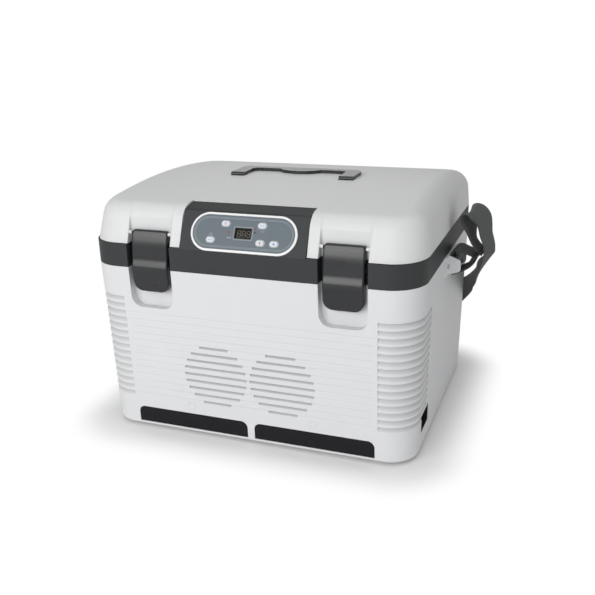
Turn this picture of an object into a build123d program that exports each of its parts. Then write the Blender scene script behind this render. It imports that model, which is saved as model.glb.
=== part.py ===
from build123d import *
from math import cos, radians, sin, sqrt, tan
import os

# Electrically cooled storage box for platelets, in millimetres.
# The origin is on the table under the middle of the box, the front looks to -Y and +Z is up.

os.makedirs("parts", exist_ok=True)

# Box: overall sizes
body_width = 440.0
body_depth = 370.0
corner_radius = 44.0
foot_lift = 4.0
band_bottom = 232.0
band_height = 30.0
side_slope = 1.6
shell_wall = 3.6
clearance = 0.3

# Lid: sizes; the front leans more than the sides and the back
lid_edge_height = 307.5
lid_crown_height = 322.0
lid_setback = 3.0
lid_gap = 0.6
lid_front_lean = 21.0
lid_side_lean = 4.0
lid_wall = 3.0
lid_edge_round = 26.0

# Storage space and engine space
space_width = 376.0
space_front = -72.0
space_back = 150.0
space_floor = 36.0
liner_wall = 2.0
engine_width = 336.0
engine_back = -104.0
engine_top = 152.0

# Louvres: one pitch for the corner ribs, the grilles and the faint front lines
louvre_pitch = 9.8
louvre_first = 54.2
louvre_count = 15
rib_depth = 2.3
rib_start = 170.0
rib_end = -110.0
grille_radius = 44.0
grille_x = 46.0
grille_rows = 9
slot_height = 4.2

# Latches
latch_x = 128.0
latch_width = 51.0
latch_top = 280.0
latch_bottom = 200.5
latch_ear = 3.3
channel_width = 61.0
channel_bottom = 179.0
channel_depth = 12.5
lid_channel_y = -169.5
latch_pivot_y = -174.5
latch_pivot_z = 276.0
latch_pin_radius = 1.5
running_gap = 0.05
catch_y = -177.0
catch_z = 249.0

# Control housing and panel
housing_width = 166.0
housing_lean = 28.0
housing_back = -138.0
housing_wall = 2.5
notch_gap = 0.8
crease_run = 51.0
crease_round = 3.0
panel_centre = 24.6
panel_width = 140.0
panel_height = 48.6
bezel_rim = 2.8
bezel_seat = 1.5
bezel_proud = 1.5
window_width = 21.8
window_height = 12.9
button_width = 10.0
button_height = 6.2
button_travel = 0.8
button_places = {
    "power_button": (-24.2, 35.5),
    "mode_button": (23.7, 35.5),
    "set_button": (-42.0, 14.4),
    "down_button": (23.7, 14.2),
    "up_button": (41.6, 14.2),
}
lamp_places = [(-19.2, 31.5), (-19.2, 25.3), (15.3, 31.3), (15.3, 27.0)]

# Handle
handle_x = 79.0
handle_arm = 20.0
handle_pivot_y = -4.0
handle_pivot_z = 318.5
handle_plate = 4.0
handle_pin_radius = 1.5
handle_barrel = 4.2

# Rear hinge
hinge_x = 120.0
hinge_width = 56.0
hinge_y = 193.2
hinge_radius = 6.0
hinge_pin_radius = 2.0

# Covers, plugs and power inlet
cover_width = 161.5
cover_gap = 9.6
cover_top = 32.0
cover_bottom = 9.0
cover_thickness = 2.0
plug_x = 85.0
plug_z = 43.0
plug_radius = 5.0
inlet_y = -115.0
inlet_z = 41.5
inlet_length = 40.0
inlet_height = 25.0

# Fans and heat exchanger
fan_size = 92.0
fan_depth = 25.4
fan_hole_pitch = 82.5
fan_front = -174.5
fan_screw_radius = 2.0
sink_size = 88.0
sink_base = 5.0
module_size = 40.0
module_thickness = 4.0

# Screws
screw_radius = 1.6
screw_head = 3.0
base_screw_x = 194.0
base_screw_pitch = 110.0

# Strap
webbing_width = 38.0
webbing_thickness = 1.8
lug_gap = 41.0
lug_fin = 3.0
lug_reach = 18.0
lug_bottom = 204.5
lug_height = 27.0

# Values worked out from the sizes above
band_top = band_bottom + band_height
lid_bottom = band_top + lid_gap
front = -body_depth / 2
back = body_depth / 2
side = body_width / 2
crown_drop = lid_crown_height - lid_edge_height
crown_reach = body_depth / 2 - 10.0
crown_radius = (crown_reach**2 + crown_drop**2) / (2 * crown_drop)
lug_z = lug_bottom + lug_height / 2
lug_screw_y = lug_gap / 2 + lug_fin + 5.5
fan_z = louvre_first + (grille_rows - 1) / 2 * louvre_pitch - slot_height / 2

# The hinges reach further back than the latches reach forward. Each piece is moved by half the
# difference when it is saved, so that the origin lies under the middle of the whole box.
latch_front = -186.0
frame_shift = Location((0, -(hinge_y + hinge_radius + latch_front) / 2, 0))


def draw_in(height):
    """How far the tub's side stands inside the band at a height."""
    return (band_bottom - height) * tan(radians(side_slope))


def crown(y):
    """Height of the lid's top surface at a distance from its ridge."""
    return lid_crown_height - crown_radius + sqrt(crown_radius**2 - y**2)


def tub_block(low, high, inset):
    """Block with the tub's own outline between two heights, drawn in all round."""
    gap = inset + draw_in(high)
    with BuildPart() as block:
        with BuildSketch(Plane.XY.offset(high)):
            RectangleRounded(body_width - 2 * gap, body_depth - 2 * gap, corner_radius - gap)
        extrude(amount=low - high, taper=side_slope)
    return block.part


def lid_block(low, inset):
    """Lid's outer form above a height, drawn in all round: leaning sides, crown, rounded edges."""
    rise = lid_crown_height - low
    front_lean, side_lean = tan(radians(lid_front_lean)), tan(radians(lid_side_lean))
    front_y = front + lid_setback + inset + (low - lid_bottom) * front_lean
    back_y = back - inset - (low - lid_bottom) * side_lean
    side_x = side - inset - (low - lid_bottom) * side_lean
    with BuildPart() as block:
        with BuildSketch(Plane.YZ):
            Polygon(
                (front_y, low),
                (back_y, low),
                (back_y - rise * side_lean, lid_crown_height),
                (front_y + rise * front_lean, lid_crown_height),
                align=None,
            )
        extrude(amount=body_width, both=True)
        with BuildSketch(Plane.XZ):
            Polygon(
                (-side_x, low),
                (side_x, low),
                (side_x - rise * side_lean, lid_crown_height),
                (-side_x + rise * side_lean, lid_crown_height),
                align=None,
            )
        extrude(amount=body_depth, both=True, mode=Mode.INTERSECT)
        upright = [edge for edge in block.edges() if abs((edge % 0.5).Z) > 0.5]
        fillet(upright, corner_radius - inset)
        with BuildSketch(Plane.YZ):
            with Locations((0, lid_crown_height - crown_radius)):
                Circle(crown_radius - inset)
        extrude(amount=body_width, both=True, mode=Mode.INTERSECT)
        fillet(block.faces().sort_by(Axis.Z)[-1].edges(), lid_edge_round - inset)
    return block.part


# Body shell: the white tub, open below for the base plate
recess_y = front + channel_depth
with BuildPart() as body_shell:
    add(tub_block(foot_lift, band_bottom, 0))
    fillet(body_shell.faces().sort_by(Axis.Z)[0].edges(), 4.0)
    add(tub_block(foot_lift + 3.0, band_bottom + 1.0, shell_wall), mode=Mode.SUBTRACT)
    # Opening for the base plate
    with BuildSketch(Plane.XY.offset(foot_lift)):
        RectangleRounded(body_width - 60, body_depth - 60, 20)
    extrude(amount=4.0, mode=Mode.SUBTRACT)
    # Walls behind the two finger recesses
    with BuildSketch(Plane.XZ.offset(-recess_y - 3.0)):
        with Locations((-latch_x, 0), (latch_x, 0)):
            with Locations((0, (channel_bottom - 3.0 + band_bottom) / 2)):
                Rectangle(channel_width + 6.0, band_bottom - channel_bottom + 3.0)
    extrude(amount=channel_depth + 3.0 - draw_in(channel_bottom) - 1.0)
    # Thick pad that carries the louvres and the fan screws
    with BuildSketch(Plane.XZ.offset(-fan_front + 0.2)):
        with Locations((0, fan_z)):
            RectangleRounded(2 * grille_x + fan_size + 4.0, fan_size + 4.0, 6.0)
    extrude(amount=-front + fan_front - draw_in(fan_z - fan_size / 2) - 1.5)
    with BuildSketch(Plane.XZ.offset(-fan_front)):
        with Locations((-grille_x, fan_z), (grille_x, fan_z)):
            with GridLocations(fan_hole_pitch, fan_hole_pitch, 2, 2):
                Circle(fan_screw_radius + running_gap)
    extrude(amount=3.6, mode=Mode.SUBTRACT)
    # Finger recesses with rounded lower corners
    with BuildSketch(Plane.XZ.offset(-recess_y)) as recess_outline:
        with Locations((-latch_x, 0), (latch_x, 0)):
            with Locations((0, (channel_bottom + band_bottom + 20.0) / 2)):
                Rectangle(channel_width, band_bottom - channel_bottom + 20.0)
        fillet(recess_outline.vertices().group_by(Axis.Y)[0], 15.0)
    extrude(amount=20.0, mode=Mode.SUBTRACT)

# Corner ribs: one comb of stepped teeth carried round each front corner
with BuildPart() as rib_comb:
    with BuildLine(Plane.XY.offset(band_bottom)) as rib_path:
        Polyline((rib_start, front), (side - corner_radius, front))
        RadiusArc(
            (side - corner_radius, front), (side, front + corner_radius), -corner_radius
        )
        Line((side, front + corner_radius), (side, rib_end))
    with BuildSketch(Plane.YZ.offset(rib_start)):
        for count in range(louvre_count):
            top = louvre_first + count * louvre_pitch
            surface = front + draw_in(top)
            Polygon(
                (surface - 1.0, top + 0.2),
                (surface + rib_depth, top - 0.6),
                (surface + rib_depth, top - 1.4),
                (surface - 0.1, top - louvre_pitch + 1.4),
                (surface - 1.0, top - louvre_pitch + 1.4),
                align=None,
            )
    sweep(path=rib_path.wires()[0])

with BuildPart() as front_lines:
    with BuildSketch(Plane.YZ.offset(-rib_start + 6.0)):
        for count in range(louvre_count - 2):
            top = louvre_first + count * louvre_pitch
            surface = front + draw_in(top)
            Polygon(
                (surface - 1.0, top + 0.1),
                (surface + 0.45, top - 0.2),
                (surface - 0.1, top - 5.0),
                (surface - 1.0, top - 5.0),
                align=None,
            )
    extrude(amount=2 * rib_start - 12.0)

with BuildPart() as grille_slots:
    for centre in (-grille_x, grille_x):
        for row in range(grille_rows):
            top = louvre_first + row * louvre_pitch
            offset_z = top - slot_height / 2 - fan_z
            half_chord = sqrt(grille_radius**2 - offset_z**2)
            surface = front + draw_in(top)
            with BuildSketch(Plane.YZ.offset(centre)):
                Polygon(
                    (surface - 1.0, top - slot_height - 1.0),
                    (surface - 1.0, top - 0.6),
                    (surface + 0.4, top - 0.6),
                    (surface + 12.0, top + 11.0),
                    (surface + 12.0, top + 11.0 - slot_height),
                    align=None,
                )
            extrude(amount=half_chord, both=True)

with BuildPart() as shell_pockets:
    # Shallow pockets for the lower covers
    with BuildSketch(Plane.XZ.offset(-front - draw_in(cover_bottom) - cover_thickness - 0.2)) as pocket:
        for turn in (-1, 1):
            with Locations((turn * (cover_gap + cover_width) / 2, (cover_top + cover_bottom) / 2)):
                Rectangle(cover_width, cover_top - cover_bottom)
        fillet(pocket.vertices().group_by(Axis.Y)[-1], 9.0)
    extrude(amount=6.0)
    # Seats for the screw plugs
    with BuildSketch(Plane.XZ.offset(-front - draw_in(plug_z) - 2.0)):
        with Locations((-plug_x, plug_z), (plug_x, plug_z)):
            Circle(plug_radius + 0.15)
    extrude(amount=6.0)
    # Window for the power inlet in the right side
    with BuildSketch(Plane.YZ.offset(side - 20.0)):
        with Locations((inlet_y, inlet_z)):
            RectangleRounded(inlet_length, inlet_height, 2.0)
    extrude(amount=30.0)
    # Holes for the lug screws and the base screws
    with BuildSketch(Plane.YZ.offset(-side - 1.0)):
        with Locations((-lug_screw_y, lug_z), (lug_screw_y, lug_z)):
            Circle(screw_radius + running_gap)
    extrude(amount=body_width + 2.0)
    with BuildSketch(Plane.XY):
        with GridLocations(2 * base_screw_x, base_screw_pitch, 2, 3):
            Circle(screw_radius + running_gap)
    extrude(amount=10.0)

with BuildPart(mode=Mode.PRIVATE) as tub:
    add(body_shell.part)
    add(rib_comb.part, mode=Mode.SUBTRACT)
    add(rib_comb.part.mirror(Plane.YZ), mode=Mode.SUBTRACT)
    add(front_lines.part, mode=Mode.SUBTRACT)
    add(grille_slots.part, mode=Mode.SUBTRACT)
    add(shell_pockets.part, mode=Mode.SUBTRACT)
tub.part.label = "body_shell"
export_step(tub.part.moved(frame_shift), "parts/body_shell.step")

# Base plate with air slots under the engine space
base_top = foot_lift + 3.0 + 3.0
with BuildPart() as base_plate:
    with BuildSketch(Plane.XY.offset(foot_lift + 3.0 + 0.1)):
        RectangleRounded(body_width - 44, body_depth - 44, 24)
    extrude(amount=2.9)
    with BuildSketch(Plane.XY.offset(foot_lift + 0.5)):
        RectangleRounded(body_width - 61, body_depth - 61, 19.5)
    extrude(amount=2.6)
    with BuildSketch(Plane.XY):
        with Locations((0, (front + engine_back) / 2 + 12.0)):
            with GridLocations(20.0, 0, 12, 1):
                Rectangle(8.0, 40.0)
    extrude(amount=20.0, mode=Mode.SUBTRACT)
    with BuildSketch(Plane.XY):
        with GridLocations(body_width - 130, body_depth - 110, 2, 2):
            Circle(11.2)
    extrude(amount=foot_lift + 2.5, mode=Mode.SUBTRACT)
    with BuildSketch(Plane.XY):
        with GridLocations(2 * base_screw_x, base_screw_pitch, 2, 3):
            Circle(screw_radius + running_gap)
    extrude(amount=20.0, mode=Mode.SUBTRACT)
base_plate.part.label = "base_plate"
export_step(base_plate.part.moved(frame_shift), "parts/base_plate.step")

# Four rubber feet with domed rims
with BuildPart() as rubber_feet:
    with BuildSketch(Plane.XY):
        with GridLocations(body_width - 130, body_depth - 110, 2, 2):
            Circle(11.0)
    extrude(amount=foot_lift + 2.5)
    chamfer(rubber_feet.faces().group_by(Axis.Z)[0].edges(), 1.2)
rubber_feet.part.label = "rubber_feet"
export_step(rubber_feet.part.moved(frame_shift), "parts/rubber_feet.step")

# Lower covers of the front, each with two rounded upper corners
cover_y = front + draw_in(cover_bottom)
for name, turn in (("lower_cover_left", -1), ("lower_cover_right", 1)):
    with BuildPart() as cover:
        with BuildSketch(Plane.XZ.offset(-cover_y - cover_thickness)) as outline:
            with Locations((turn * (cover_gap + cover_width) / 2, (cover_top + cover_bottom) / 2)):
                Rectangle(cover_width - 2 * clearance, cover_top - cover_bottom - 2 * clearance)
            fillet(outline.vertices().group_by(Axis.Y)[-1], 9.0)
        extrude(amount=cover_thickness)
        fillet(cover.faces().sort_by(Axis.Y)[0].edges(), 0.6)
    cover.part.label = name
    export_step(cover.part.moved(frame_shift), f"parts/{name}.step")

# Two plugs over the front screws, each with a cross slot
plug_y = front + draw_in(plug_z)
with BuildPart() as screw_plugs:
    with BuildSketch(Plane.XZ.offset(-plug_y - 1.9)):
        with Locations((-plug_x, plug_z), (plug_x, plug_z)):
            Circle(plug_radius)
    extrude(amount=2.1)
    chamfer(screw_plugs.faces().group_by(Axis.Y)[0].edges(), 0.4)
screw_plugs.part.label = "screw_plugs"
export_step(screw_plugs.part.moved(frame_shift), "parts/screw_plugs.step")

# Rim frame: dark band all round, deck, and the sloping control housing
slope_plane = Plane(
    origin=(0, front, band_top),
    x_dir=(1, 0, 0),
    z_dir=(0, -cos(radians(housing_lean)), sin(radians(housing_lean))),
)
slope_axis = Axis(slope_plane.origin, slope_plane.z_dir)
crease_y = front + crease_run * sin(radians(housing_lean))
crease_z = band_top + crease_run * cos(radians(housing_lean))
housing_top_z = crown(housing_back) - 1.2
with BuildPart() as top_frame:
    with BuildSketch(Plane.XY.offset(band_bottom + 0.1)):
        RectangleRounded(body_width, body_depth, corner_radius)
    extrude(amount=band_height - 0.1)
    # Hollow under the deck
    with BuildSketch(Plane.XY.offset(band_bottom)):
        RectangleRounded(body_width - 4.0, body_depth - 4.0, corner_radius - 2.0)
    extrude(amount=band_height - 4.0, mode=Mode.SUBTRACT)
    # Wall round the mouth of the storage space
    with BuildSketch(Plane.XY.offset(band_bottom + 2.3)):
        with Locations((0, (space_front + space_back) / 2)):
            RectangleRounded(space_width + 5.0, space_back - space_front + 5.0, 20.0)
    extrude(amount=band_height - 4.0)
    with BuildSketch(Plane.XY.offset(band_bottom)):
        with Locations((0, (space_front + space_back) / 2)):
            RectangleRounded(space_width, space_back - space_front, 17.0)
    extrude(amount=band_height + 5.0, mode=Mode.SUBTRACT)
    # Control housing on the deck
    with BuildSketch(Plane.YZ) as housing_side:
        with BuildLine():
            Polyline(
                (front, band_top - 3.0),
                (front, band_top),
                (crease_y, crease_z),
                (housing_back, housing_top_z),
                (housing_back, band_top - 3.0),
                close=True,
            )
        make_face()
        fillet(housing_side.vertices().group_by(Axis.Y)[-2], crease_round)
    extrude(amount=housing_width / 2, both=True)
    with BuildSketch(Plane.YZ):
        add(housing_side.sketch_local)
        offset(amount=-housing_wall, mode=Mode.REPLACE)
    extrude(amount=housing_width / 2 - housing_wall, both=True, mode=Mode.SUBTRACT)
    with BuildSketch(Plane.XY.offset(band_top - 5.0)):
        with Locations((0, (front + housing_back) / 2)):
            Rectangle(housing_width - 2 * housing_wall, housing_back - front - 2 * housing_wall)
    extrude(amount=6.0, mode=Mode.SUBTRACT)
    # Oval opening for the bezel
    with BuildSketch(slope_plane.offset(-6.0)):
        with Locations((0, panel_centre)):
            SlotOverall(panel_width - 2 * bezel_seat + 0.6, panel_height - 2 * bezel_seat + 0.6)
    extrude(amount=12.0, mode=Mode.SUBTRACT)
    # Walls and recesses behind the latches
    with BuildSketch(Plane.XY.offset(band_bottom + 0.1)):
        with Locations((-latch_x, 0), (latch_x, 0)):
            with Locations((0, (front + lid_channel_y + 3.0) / 2)):
                Rectangle(channel_width + 6.0, lid_channel_y + 3.0 - front - 1.0)
    extrude(amount=band_height - 0.1)
    with BuildSketch(Plane.XY.offset(band_bottom)):
        with Locations((-latch_x, 0), (latch_x, 0)):
            with Locations((0, (front - 10.0 + lid_channel_y) / 2)):
                Rectangle(channel_width, lid_channel_y - front + 10.0)
    extrude(amount=band_height + 1.0, mode=Mode.SUBTRACT)
    # Catch rails that the latches snap under
    for centre in (-latch_x, latch_x):
        with BuildSketch(Plane.YZ.offset(centre)):
            Polygon(
                (lid_channel_y + 0.5, catch_z - 3.0),
                (catch_y, catch_z),
                (catch_y, catch_z + 2.5),
                (lid_channel_y + 0.5, catch_z + 6.0),
                align=None,
            )
        extrude(amount=(channel_width - 8.0) / 2, both=True)
    # Hinge knuckles at the back
    for centre in (-hinge_x, hinge_x):
        with BuildSketch(Plane.YZ.offset(centre)) as knuckle:
            with Locations((hinge_y, band_top)):
                Circle(hinge_radius)
            Polygon(
                (back - 1.5, band_top - 12.0),
                (hinge_y, band_top - hinge_radius),
                (hinge_y, band_top),
                (back - 1.5, band_top - 0.5),
                align=None,
            )
            with Locations((hinge_y, band_top)):
                Circle(hinge_pin_radius + running_gap, mode=Mode.SUBTRACT)
        extrude(amount=hinge_width / 4 - 0.4, both=True)
top_frame.part.label = "top_frame"
export_step(top_frame.part.moved(frame_shift), "parts/top_frame.step")

# Bezel round the panel, with a seat that carries the membrane panel
membrane_width = panel_width - 2 * bezel_rim
membrane_height = panel_height - 2 * bezel_rim
with BuildPart() as display_bezel:
    with BuildSketch(slope_plane):
        with Locations((0, panel_centre)):
            SlotOverall(panel_width, panel_height)
    extrude(amount=bezel_proud)
    fillet(display_bezel.faces().sort_by(slope_axis)[-1].edges(), 0.9)
    with BuildSketch(slope_plane):
        with Locations((0, panel_centre)):
            SlotOverall(panel_width - 2 * bezel_seat, panel_height - 2 * bezel_seat)
    extrude(amount=-3.6)
    with BuildSketch(slope_plane.offset(-2.4)):
        with Locations((0, panel_centre)):
            SlotOverall(membrane_width, membrane_height)
    extrude(amount=10.0, mode=Mode.SUBTRACT)
    with BuildSketch(slope_plane.offset(-4.0)):
        with Locations((0, panel_centre)):
            SlotOverall(membrane_width - 3.0, membrane_height - 3.0)
    extrude(amount=10.0, mode=Mode.SUBTRACT)
display_bezel.part.label = "display_bezel"
export_step(display_bezel.part.moved(frame_shift), "parts/display_bezel.step")

# Membrane panel with holes for the window, lamps and buttons
membrane_face = 0.7
with BuildPart() as membrane_panel:
    with BuildSketch(slope_plane.offset(-2.3)):
        with Locations((0, panel_centre)):
            SlotOverall(membrane_width - 0.3, membrane_height - 0.3)
        with Locations((0, panel_centre)):
            RectangleRounded(window_width + 0.3, window_height + 0.3, 1.0, mode=Mode.SUBTRACT)
        with Locations(*lamp_places):
            Circle(1.2, mode=Mode.SUBTRACT)
        with Locations(*button_places.values()):
            SlotOverall(button_width + 0.4, button_height + 0.4, mode=Mode.SUBTRACT)
    extrude(amount=2.3 + membrane_face)
membrane_panel.part.label = "membrane_panel"
export_step(membrane_panel.part.moved(frame_shift), "parts/membrane_panel.step")

# Clear window over the digits
with BuildPart() as display_window:
    with BuildSketch(slope_plane.offset(-1.5)):
        with Locations((0, panel_centre)):
            RectangleRounded(window_width, window_height, 0.9)
    extrude(amount=1.5 + membrane_face)
display_window.part.label = "display_window"
export_step(display_window.part.moved(frame_shift), "parts/display_window.step")

# Three seven-segment digits on one block behind the window
segment = 0.7
digit_width = 3.6
digit_height = 7.4
with BuildPart() as display_module:
    with BuildSketch(slope_plane.offset(-9.0)):
        with Locations((0, panel_centre)):
            Rectangle(window_width - 1.0, window_height - 1.0)
    extrude(amount=6.6)
    with BuildSketch(slope_plane.offset(-2.5)):
        for place in (-6.2, 0.0, 6.2):
            with Locations((place, panel_centre)):
                with Locations((0, digit_height / 2), (0, 0), (0, -digit_height / 2)):
                    Rectangle(digit_width - segment, segment)
                with GridLocations(digit_width + 0.6, digit_height / 2, 2, 2):
                    Rectangle(segment, digit_height / 2 - segment)
    extrude(amount=0.5)
display_module.part.label = "display_module"
export_step(display_module.part.moved(frame_shift), "parts/display_module.step")

with BuildPart() as indicator_lamps:
    with BuildSketch(slope_plane.offset(-8.9)):
        with Locations(*lamp_places):
            Circle(1.0)
    extrude(amount=8.9 + membrane_face + 0.1)
indicator_lamps.part.label = "indicator_lamps"
export_step(indicator_lamps.part.moved(frame_shift), "parts/indicator_lamps.step")

# Control board with one switch under each button
with BuildPart() as control_board:
    with BuildSketch(slope_plane.offset(-10.8)):
        with Locations((0, panel_centre)):
            Rectangle(housing_width - 2 * housing_wall - 12.0, 38.0)
    extrude(amount=1.6)
    with BuildSketch(slope_plane.offset(-9.3)):
        with Locations(*button_places.values()):
            Rectangle(6.0, 6.0)
    extrude(amount=1.9)
    # Stand-offs that reach the housing's sloping wall
    with BuildSketch(slope_plane.offset(-9.3)):
        for turn in (-1, 1):
            with Locations((turn * 73.6, panel_centre)):
                Circle(2.2)
    extrude(amount=9.3 - housing_wall)
control_board.part.label = "control_board"
export_step(control_board.part.moved(frame_shift), "parts/control_board.step")

# Buttons: oval caps with a collar under the panel and a stem over the switch
for name, place in button_places.items():
    with BuildPart() as button:
        with BuildSketch(slope_plane.offset(-2.6)):
            with Locations(place):
                SlotOverall(button_width, button_height)
        extrude(amount=2.6 + membrane_face + 0.9)
        chamfer(button.faces().sort_by(slope_axis)[-1].edges(), 0.4)
        with BuildSketch(slope_plane.offset(-3.6)):
            with Locations(place):
                SlotOverall(button_width + 1.8, button_height + 1.8)
        extrude(amount=1.1)
        with BuildSketch(slope_plane.offset(-6.3)):
            with Locations(place):
                Circle(1.5)
        extrude(amount=3.0)
    button.part.label = name
    export_step(button.part.moved(frame_shift), f"parts/{name}.step")

# Inner liner: the washable tub of the storage space, with a flange under the frame
space_middle = (space_front + space_back) / 2
space_depth = space_back - space_front
with BuildPart() as storage_space:
    with BuildSketch(Plane.XY.offset(space_floor)):
        with Locations((0, space_middle)):
            RectangleRounded(space_width, space_depth, 16.0)
    extrude(amount=band_bottom)
    fillet(storage_space.faces().sort_by(Axis.Z)[0].edges(), 7.0 - liner_wall)

with BuildPart() as inner_liner:
    with BuildSketch(Plane.XY.offset(space_floor - liner_wall)):
        with Locations((0, space_middle)):
            RectangleRounded(space_width + 2 * liner_wall, space_depth + 2 * liner_wall, 18.0)
    extrude(amount=band_bottom + 2.0 - space_floor + liner_wall)
    fillet(inner_liner.faces().sort_by(Axis.Z)[0].edges(), 7.0)
    with BuildSketch(Plane.XY.offset(band_bottom + 0.1)):
        RectangleRounded(body_width - 4.6, body_depth - 4.6, corner_radius - 2.3)
    extrude(amount=1.9)
    add(storage_space.part, mode=Mode.SUBTRACT)
    # Bores behind the cold sink for the two transfer blocks
    with BuildSketch(Plane.XZ.offset(-space_front)):
        with Locations((-grille_x, fan_z), (grille_x, fan_z)):
            Rectangle(module_size + 1.0, module_size + 1.0)
    extrude(amount=10.0, mode=Mode.SUBTRACT)
    # Room behind the latches
    with BuildSketch(Plane.XY.offset(band_bottom)):
        with Locations((-latch_x, front), (latch_x, front)):
            Rectangle(channel_width + 8.0, 2 * (lid_channel_y + 3.5 - front))
    extrude(amount=5.0, mode=Mode.SUBTRACT)
    # Cable hole to the control housing
    with BuildSketch(Plane.XY.offset(band_bottom)):
        with Locations((0, -150.0)):
            Circle(9.0)
    extrude(amount=5.0, mode=Mode.SUBTRACT)
inner_liner.part.label = "inner_liner"
export_step(inner_liner.part.moved(frame_shift), "parts/inner_liner.step")

# Foam between the tub and the liner, open round the engine space
with BuildPart() as insulation_foam:
    add(tub_block(base_top + 0.5, band_bottom - 0.2, shell_wall + clearance))
    with BuildSketch(Plane.XY.offset(space_floor - liner_wall - clearance)):
        with Locations((0, space_middle)):
            RectangleRounded(space_width + 4.6, space_depth + 4.6, 18.3)
    extrude(amount=band_bottom, mode=Mode.SUBTRACT)
    with BuildSketch(Plane.XY):
        with Locations((0, (front + engine_back) / 2)):
            Rectangle(engine_width, engine_back - front)
    extrude(amount=engine_top, mode=Mode.SUBTRACT)
    # Room for the power inlet beside the engine space
    with BuildSketch(Plane.YZ.offset(engine_width / 2 - 1.0)):
        with Locations((inlet_y, inlet_z)):
            Rectangle(inlet_length + 2.0, inlet_height + 2.0)
    extrude(amount=side, mode=Mode.SUBTRACT)
    with BuildSketch(Plane.XZ.offset(-space_front)):
        with Locations((-grille_x, fan_z), (grille_x, fan_z)):
            Rectangle(module_size + 1.0, module_size + 1.0)
    extrude(amount=60.0, mode=Mode.SUBTRACT)
    with BuildSketch(Plane.XY.offset(channel_bottom - 5.0)):
        with Locations((-latch_x, front), (latch_x, front)):
            Rectangle(channel_width + 8.0, 2 * (channel_depth + 4.0))
    extrude(amount=band_bottom, mode=Mode.SUBTRACT)
    with BuildSketch(Plane.XY.offset(engine_top - 1.0)):
        with Locations((0, -150.0)):
            Circle(9.0)
    extrude(amount=band_bottom, mode=Mode.SUBTRACT)
insulation_foam.part.label = "insulation_foam"
export_step(insulation_foam.part.moved(frame_shift), "parts/insulation_foam.step")

# Fans: square frames with a spider, and seven-blade rotors on their shafts
hub_radius = 17.0
shaft_radius = 1.5
fan_back = fan_front + fan_depth
spider_y = fan_back - 3.0
for name, centre in (("left", -grille_x), ("right", grille_x)):
    with BuildPart() as fan_frame:
        with BuildSketch(Plane.XZ.offset(-fan_front)):
            with Locations((centre, fan_z)):
                RectangleRounded(fan_size - 0.4, fan_size - 0.4, 5.0)
        extrude(amount=-fan_depth)
        with BuildSketch(Plane.XZ.offset(-fan_front)):
            with Locations((centre, fan_z)):
                Circle(fan_size / 2 - 2.6)
        extrude(amount=-fan_depth, mode=Mode.SUBTRACT)
        with BuildSketch(Plane.XZ.offset(-spider_y)):
            with Locations((centre, fan_z)):
                Circle(hub_radius)
                Rectangle(4.0, fan_size - 3.0, rotation=45)
                Rectangle(4.0, fan_size - 3.0, rotation=-45)
        extrude(amount=-3.0)
        with BuildSketch(Plane.XZ.offset(-fan_front)):
            with Locations((centre, fan_z)):
                Circle(shaft_radius + running_gap)
                with GridLocations(fan_hole_pitch, fan_hole_pitch, 2, 2):
                    Circle(2.15)
        extrude(amount=-fan_depth, mode=Mode.SUBTRACT)
    fan_frame.part.label = f"fan_frame_{name}"
    export_step(fan_frame.part.moved(frame_shift), f"parts/fan_frame_{name}.step")

    with BuildPart() as fan_rotor:
        with BuildSketch(Plane.XZ.offset(-fan_front - 2.0)):
            with Locations((centre, fan_z)):
                Circle(hub_radius)
        extrude(amount=-(fan_depth - 2.0 - 3.0 - 0.6))
        chamfer(fan_rotor.faces().sort_by(Axis.Y)[0].edges(), 1.5)
        with BuildSketch(Plane.XZ.offset(-fan_front - 4.0)):
            with Locations((centre, fan_z)):
                Circle(shaft_radius)
        extrude(amount=-(fan_depth - 4.5))
        blade_y = fan_front + 2.0 + 9.0
        for blade in range(7):
            turn = 360 / 7 * blade
            out = Vector(cos(radians(turn)), 0, sin(radians(turn)))
            middle = Vector(centre, blade_y, fan_z)
            for radius, pitch, chord in ((hub_radius - 1.0, 48.0, 22.0), (fan_size / 2 - 5.4, 28.0, 27.0)):
                root = Plane(origin=middle + out * radius, x_dir=Vector(0, 1, 0), z_dir=out)
                with BuildSketch(root):
                    Rectangle(chord, 1.5, rotation=90 - pitch)
            loft(ruled=True)
    fan_rotor.part.label = f"fan_rotor_{name}"
    export_step(fan_rotor.part.moved(frame_shift), f"parts/fan_rotor_{name}.step")

with BuildPart() as fan_screws:
    with BuildSketch(Plane.XZ.offset(-fan_front + 3.4)):
        with Locations((-grille_x, fan_z), (grille_x, fan_z)):
            with GridLocations(fan_hole_pitch, fan_hole_pitch, 2, 2):
                Circle(fan_screw_radius)
    extrude(amount=-fan_depth - 3.4)
    with BuildSketch(Plane.XZ.offset(-fan_back)):
        with Locations((-grille_x, fan_z), (grille_x, fan_z)):
            with GridLocations(fan_hole_pitch, fan_hole_pitch, 2, 2):
                Circle(2 * fan_screw_radius)
    extrude(amount=-1.8)
fan_screws.part.label = "fan_screws"
export_step(fan_screws.part.moved(frame_shift), "parts/fan_screws.step")

# Heat sinks behind the fans, modules on their backs, blocks through the foam
sink_front = fan_back + 2.2
sink_back = engine_back - module_thickness
fin_count = 13
for name, centre in (("left", -grille_x), ("right", grille_x)):
    with BuildPart() as heat_sink:
        with BuildSketch(Plane.XZ.offset(-sink_back)):
            with Locations((centre, fan_z)):
                Rectangle(sink_size, sink_size)
        extrude(amount=sink_base)
        with BuildSketch(Plane.XZ.offset(-sink_back + sink_base)):
            with Locations((centre, fan_z)):
                with GridLocations((sink_size - 1.4) / (fin_count - 1), 0, fin_count, 1):
                    Rectangle(1.4, sink_size)
        extrude(amount=sink_back - sink_base - sink_front)
    heat_sink.part.label = f"heat_sink_{name}"
    export_step(heat_sink.part.moved(frame_shift), f"parts/heat_sink_{name}.step")

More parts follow.
